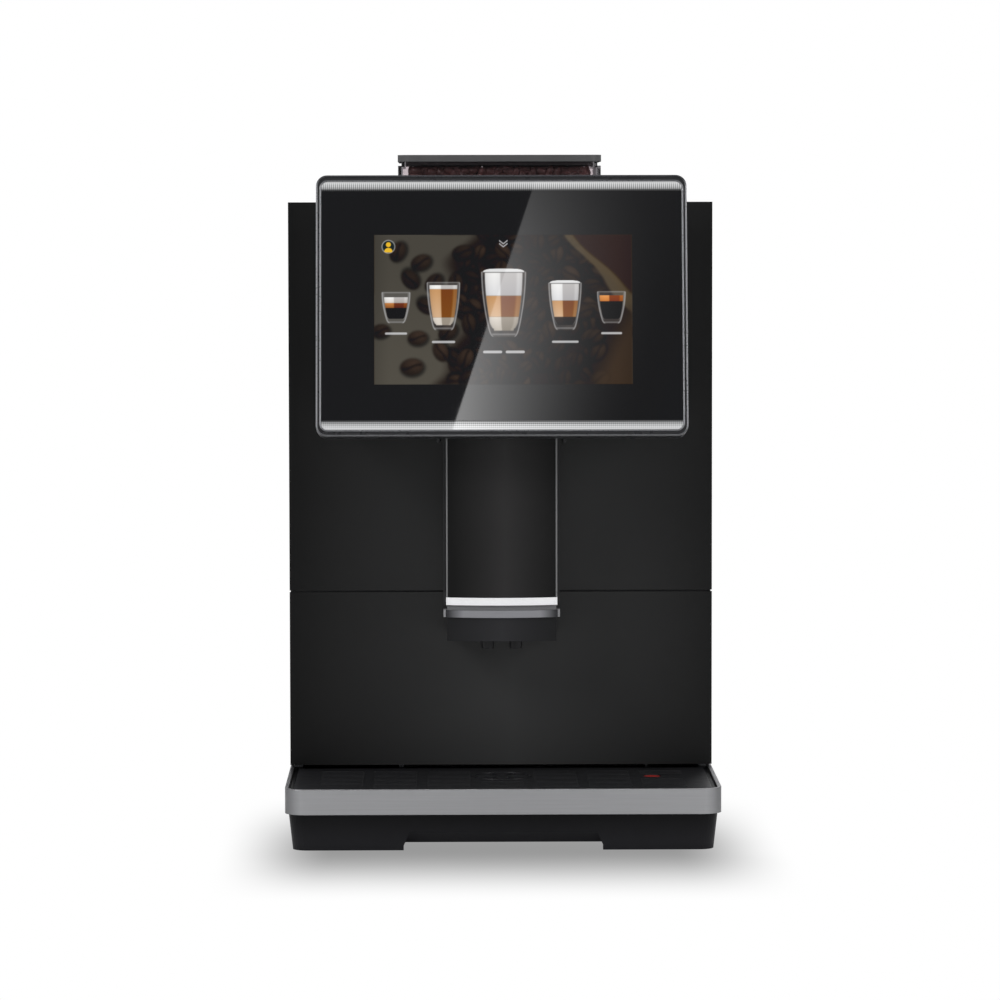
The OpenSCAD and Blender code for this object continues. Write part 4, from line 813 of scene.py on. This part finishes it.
def light_bar_material():
    """Fine upright dashes lit from behind, brightest near the outer edge of each bar. The lower
    bar also has rows across it."""
    m = Nodes("light_bar")
    x = m.xyz()[0]
    v = m.up_slope()
    inward = m.math("SUBTRACT", BAR_OUTER, m.math("ABSOLUTE", v))

    def wave(value, pitch, start):
        """A triangle wave from -1 to 1."""
        turn = m.math("FRACT", m.math("ADD", m.math("MULTIPLY", value, 1.0 / pitch), start))
        off = m.math("ABSOLUTE", m.math("SUBTRACT", turn, 0.5))
        return m.math("SUBTRACT", 1.0, m.math("MULTIPLY", off, 4.0))

    def ramp(stops):
        reach = 0.1         # one over the ramp's length in mm
        n = m.add("ShaderNodeValToRGB", {"Fac": m.math("MULTIPLY", inward, reach)})
        r = n.color_ramp
        while len(r.elements) < len(stops):
            r.elements.new(0.5)
        for element, (at, value) in zip(r.elements, stops):
            element.position = at * reach
            element.color = (value, value, value, 1)
        return n.outputs["Color"]

    def dashes(mean, swing, pitch, start):
        return m.math("ADD", ramp(mean), m.math("MULTIPLY", ramp(swing), wave(x, pitch * MM, start)))

    top = dashes(TOP_MEAN, TOP_SWING, TOP_PITCH, TOP_START)
    low = dashes(LOW_MEAN, LOW_SWING, LOW_PITCH, LOW_START)
    low = m.math("ADD", low, m.math("MULTIPLY", wave(inward, ROW_PITCH, ROW_START), ramp(ROW_SWING)))
    is_low = m.math("LESS_THAN", v, 0.0)
    is_top = m.math("SUBTRACT", 1.0, is_low)
    glow = m.math("ADD", m.math("MULTIPLY", top, is_top), m.math("MULTIPLY", low, is_low))
    glow = m.math("MAXIMUM", glow, 0.0)
    m.look(base_color=(0.01, 0.01, 0.011, 1), roughness=m.remap(m.noise(26, 3), 0.008, 0.016),
           emission_color=m.mix(glow, (0, 0, 0), (0.985, 0.995, 1.0)), emission_strength=1.0)
    return m


dress("light_strips", light_bar_material().mat)


# ---------- glare card that shows in the glass ----------

def glare_card():
    """A lit card above the camera. Its mirror image in the tilted glass has one slanted edge, is
    brightest there and at its foot, and fades to the right and up."""
    foot_v, height, width = -118.5, 240, 170
    edge_u, edge_v, slant = 27.1, 101.6, 0.3327     # a point of the slanted edge, and u per v along it
    card_y = -3.3
    cells = 24
    faint, veil, fade_right, fade_up = 0.034, 0.115, 2.9, 1.2
    mirrored = CAM_POS + OUT * (2 * (DISP * MM - CAM_POS).dot(OUT))
    pts, tones = [], []
    for j in range(cells + 1):
        up = j / cells
        v = foot_v + height * up
        for i in range(cells + 1):
            right = i / cells
            seen = disp(edge_u + (v - edge_v) * slant + right * width, v)
            ray = seen - mirrored
            pts.append(seen + ray * ((card_y - seen.y) / ray.y))
            tones.append(faint + (1 - right) ** fade_right * (veil + (1 - veil) * (1 - up) ** fade_up))
    m = Nodes("glare_card")
    m.look(base_color=(0, 0, 0, 1), specular_ior_level=0)
    lit_paint(m, 7.0)
    ob = new_object("glare_card", pts, grid_faces(cells + 1, cells + 1), m.mat)
    set_colors(ob, np.repeat(np.array(tones)[:, None], 3, 1))
    ob.visible_camera = False


glare_card()


# ---------- coffee beans ----------

def bean_shape():
    """One roasted bean in mm: domed back, flatter front with a deep crease along X."""
    angles = [-104, -90, -76, -50, -20, 10, 45, 90, 135, 170, 200, 230]
    rows = [-0.9, -0.62, -0.25, 0.15, 0.55, 0.88]
    a, b, c = 5.2, 3.8, 2.9
    verts = [(-a, 0, 0)]
    for t in rows:
        s = math.sqrt(1 - t * t) ** 0.85
        for g in angles:
            r = math.radians(g)
            z = math.sin(r) * s * (c if math.sin(r) > 0 else c * 0.55)
            if g == -90:
                z += 1.25 * s
            verts.append((a * t, b * s * math.cos(r), z))
    verts.append((a, 0, 0))
    n = len(angles)
    faces = [(0, 1 + (i + 1) % n, 1 + i) for i in range(n)]
    for k in range(len(rows) - 1):
        for i in range(n):
            p, q = 1 + k * n + i, 1 + k * n + (i + 1) % n
            faces.append((p, q, q + n, p + n))
    last = len(verts) - 1
    base = 1 + (len(rows) - 1) * n
    faces += [(last, base + i, base + (i + 1) % n) for i in range(n)]
    return np.array(verts), faces


PILE_HALF = 81.5            # mm from the hopper's middle to the outermost beans
HOPPER_FLOOR = 549.0
THROAT_FOOT, THROAT_TOP = 490.0, 534.0
THROAT_HALF = 26.0          # half the throat's width and depth at its foot
THROAT_WIDE, THROAT_DEEP = 69.0, 64.0       # half its width and half its depth at its top
SKIN = 3.6                  # from a wall to the middle of a bean that lies on it


class BeanPile:
    """Beans laid one by one on the hopper's walls, on top and round its throat, in mm."""

    def __init__(self, cx, cy):
        self.cx, self.cy = cx, cy
        self.rng = random.Random(5)
        self.shape, self.cells = bean_shape()
        self.verts, self.faces = [], []

    def put(self, x, y, z, normal):
        """One bean that faces roughly along the normal, at x and y from the hopper's middle."""
        draw = self.rng.uniform
        out = Vector(normal).normalized()
        out = (out + Vector((draw(-1, 1), draw(-1, 1), draw(-1, 1))) * 0.28).normalized()
        if self.rng.random() < 0.4:
            out = -out
        turn = out.to_track_quat("Z", "Y").to_matrix() @ Matrix.Rotation(draw(0, math.tau), 3, "Z")
        size = draw(0.88, 1.06)
        pts = (self.shape * size) @ np.array(turn).T + np.array((self.cx + x, self.cy + y, z))
        start = len(self.verts)
        self.verts.extend(pts.tolist())
        self.faces.extend([tuple(i + start for i in face) for face in self.cells])

    def row(self, half, margin, shift, step_range, put_at):
        """Beans at uneven steps along a line that runs the given half length each way."""
        at = -half + margin + shift
        while at < half - margin + 1:
            put_at(at)
            at += self.rng.uniform(*step_range)

    def walls(self, rows=7):
        draw = self.rng.uniform
        reach = PILE_HALF - SKIN
        corner = PILE_HALF - 5.5
        for n in range(rows):
            z = HOPPER_FLOOR + 3.2 + n * 3.75
            shift = draw(0, 4)
            for side in (-1, 1):
                self.row(PILE_HALF, 8, shift, (6.4, 8.2), lambda x: self.put(
                    x, side * reach + draw(-0.3, 0.3), z + draw(-1, 1), (0, side, 0)))
                self.row(PILE_HALF, 8, shift, (6.4, 8.2), lambda y: self.put(
                    side * reach, y, z + draw(-1, 1), (side, 0, 0)))
                for end in (-1, 1):
                    self.put(side * corner, end * corner, z, (side, end, 0))

    def top(self, z, knob_clear=21):
        draw = self.rng.uniform
        y = -PILE_HALF + 8.5

        def put_at(x):
            if math.hypot(x, y) > knob_clear:
                self.put(x, y, z + draw(-0.8, 0.1), (0, 0, 1))

        while y < PILE_HALF - 7.5:
            self.row(PILE_HALF, 8.5, draw(0, 3), (6.6, 8.4), put_at)
            y += 6.0

    def throat(self, rows=9):
        out, down = 0.72, -0.6
        for n in range(rows):
            t = (n + 0.5) / rows
            z = THROAT_FOOT + (THROAT_TOP - THROAT_FOOT) * t
            half_x = THROAT_HALF + (THROAT_WIDE - THROAT_HALF) * t
            half_y = THROAT_HALF + (THROAT_DEEP - THROAT_HALF) * t
            for side in (-1, 1):
                self.row(half_x, 6, 0, (7, 9), lambda x: self.put(
                    x, side * (half_y - SKIN), z, (0, side * out, down)))
                self.row(half_y, 6, 0, (7, 9), lambda y: self.put(
                    side * (half_x - SKIN), y, z, (side * out, 0, down)))


def roasted_bean():
    """Dark red-brown, mottled, with a dull gloss."""
    m = Nodes("roasted_bean")
    cell = m.add("ShaderNodeTexVoronoi", {"Vector": m.coord, "Scale": 130}).outputs["Distance"]
    col = m.mix(m.remap(m.noise(95, 4, 0.6), 0, 1), (0.075, 0.034, 0.032), (0.290, 0.135, 0.128))
    m.look(base_color=m.mix(m.math("MULTIPLY", cell, 0.6), col, (0.055, 0.026, 0.020)),
           roughness=m.remap(m.noise(300, 3), 0.3, 0.5), normal=m.bump(m.noise(700, 4), 0.35, 0.0003))
    return m.mat


# Painted shadow: a dark material for the core inside the pile, standing in for the shade deep between the beans.
def bean_shadow():
    m = Nodes("bean_shadow")
    m.look(base_color=m.mix(m.noise(160, 4), (0.008, 0.004, 0.003), (0.03, 0.014, 0.011)),
           roughness=m.remap(m.noise(90), 0.6, 0.8))
    return m.mat


def round_ring(cx, cy, z, half_x, half_y, r, steps=4):
    """The corners of a rounded rectangle at one height, anticlockwise."""
    pts = []
    for qx, qy, start in ((1, 1, 0), (-1, 1, 90), (-1, -1, 180), (1, -1, 270)):
        x, y = cx + qx * (half_x - r), cy + qy * (half_y - r)
        for k in range(steps + 1):
            g = math.radians(start + 90 / steps * k)
            pts.append((x + r * math.cos(g), y + r * math.sin(g), z))
    return pts


def core_shape(cx, cy, top):
    """A closed block that fills the hopper and its throat a little way inside the beans."""
    deep = 5.4
    foot = THROAT_HALF - deep
    wide, long = THROAT_WIDE - deep, THROAT_DEEP - deep
    full = PILE_HALF - deep
    rings = [round_ring(cx, cy, *ring) for ring in (
        (THROAT_FOOT - 4, foot, foot, 3), (THROAT_TOP, wide - 1, long - 1, 4),
        (HOPPER_FLOOR + 1.6, wide, long, 4), (HOPPER_FLOOR + 2.6, full, full, 7),
        (top - 1.2, full, full, 7))]
    n = len(rings[0])
    faces = [tuple(range(n - 1, -1, -1)), tuple(range((len(rings) - 1) * n, len(rings) * n))]
    for k in range(0, (len(rings) - 1) * n, n):
        faces += [(k + i, k + (i + 1) % n, k + n + (i + 1) % n, k + n + i) for i in range(n)]
    return [p for ring in rings for p in ring], faces


def pile_of_beans():
    """Beans pressed against the hopper's walls and lying on top, round a dark core that is painted shadow for
    the deep inside of the pile.
    """
    lo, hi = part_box("coffee_beans")
    cx, cy = [(a + b) / 2 / MM for a, b in zip(lo[:2], hi[:2])]
    top = hi[2] / MM
    pile = BeanPile(cx, cy)
    pile.walls()
    pile.top(top - 0.3)
    pile.throat()
    verts = (np.array(pile.verts) * MM).tolist()
    ob = new_object("bean_pile", verts, pile.faces, roasted_bean(), smooth=True)
    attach(ob, "hopper")
    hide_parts("coffee_beans")
    verts, faces = core_shape(cx, cy, top)
    core = new_object("bean_core", (np.array(verts) * MM).tolist(), faces, bean_shadow())
    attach(core, "hopper")


pile_of_beans()

bpy.context.view_layer.update()
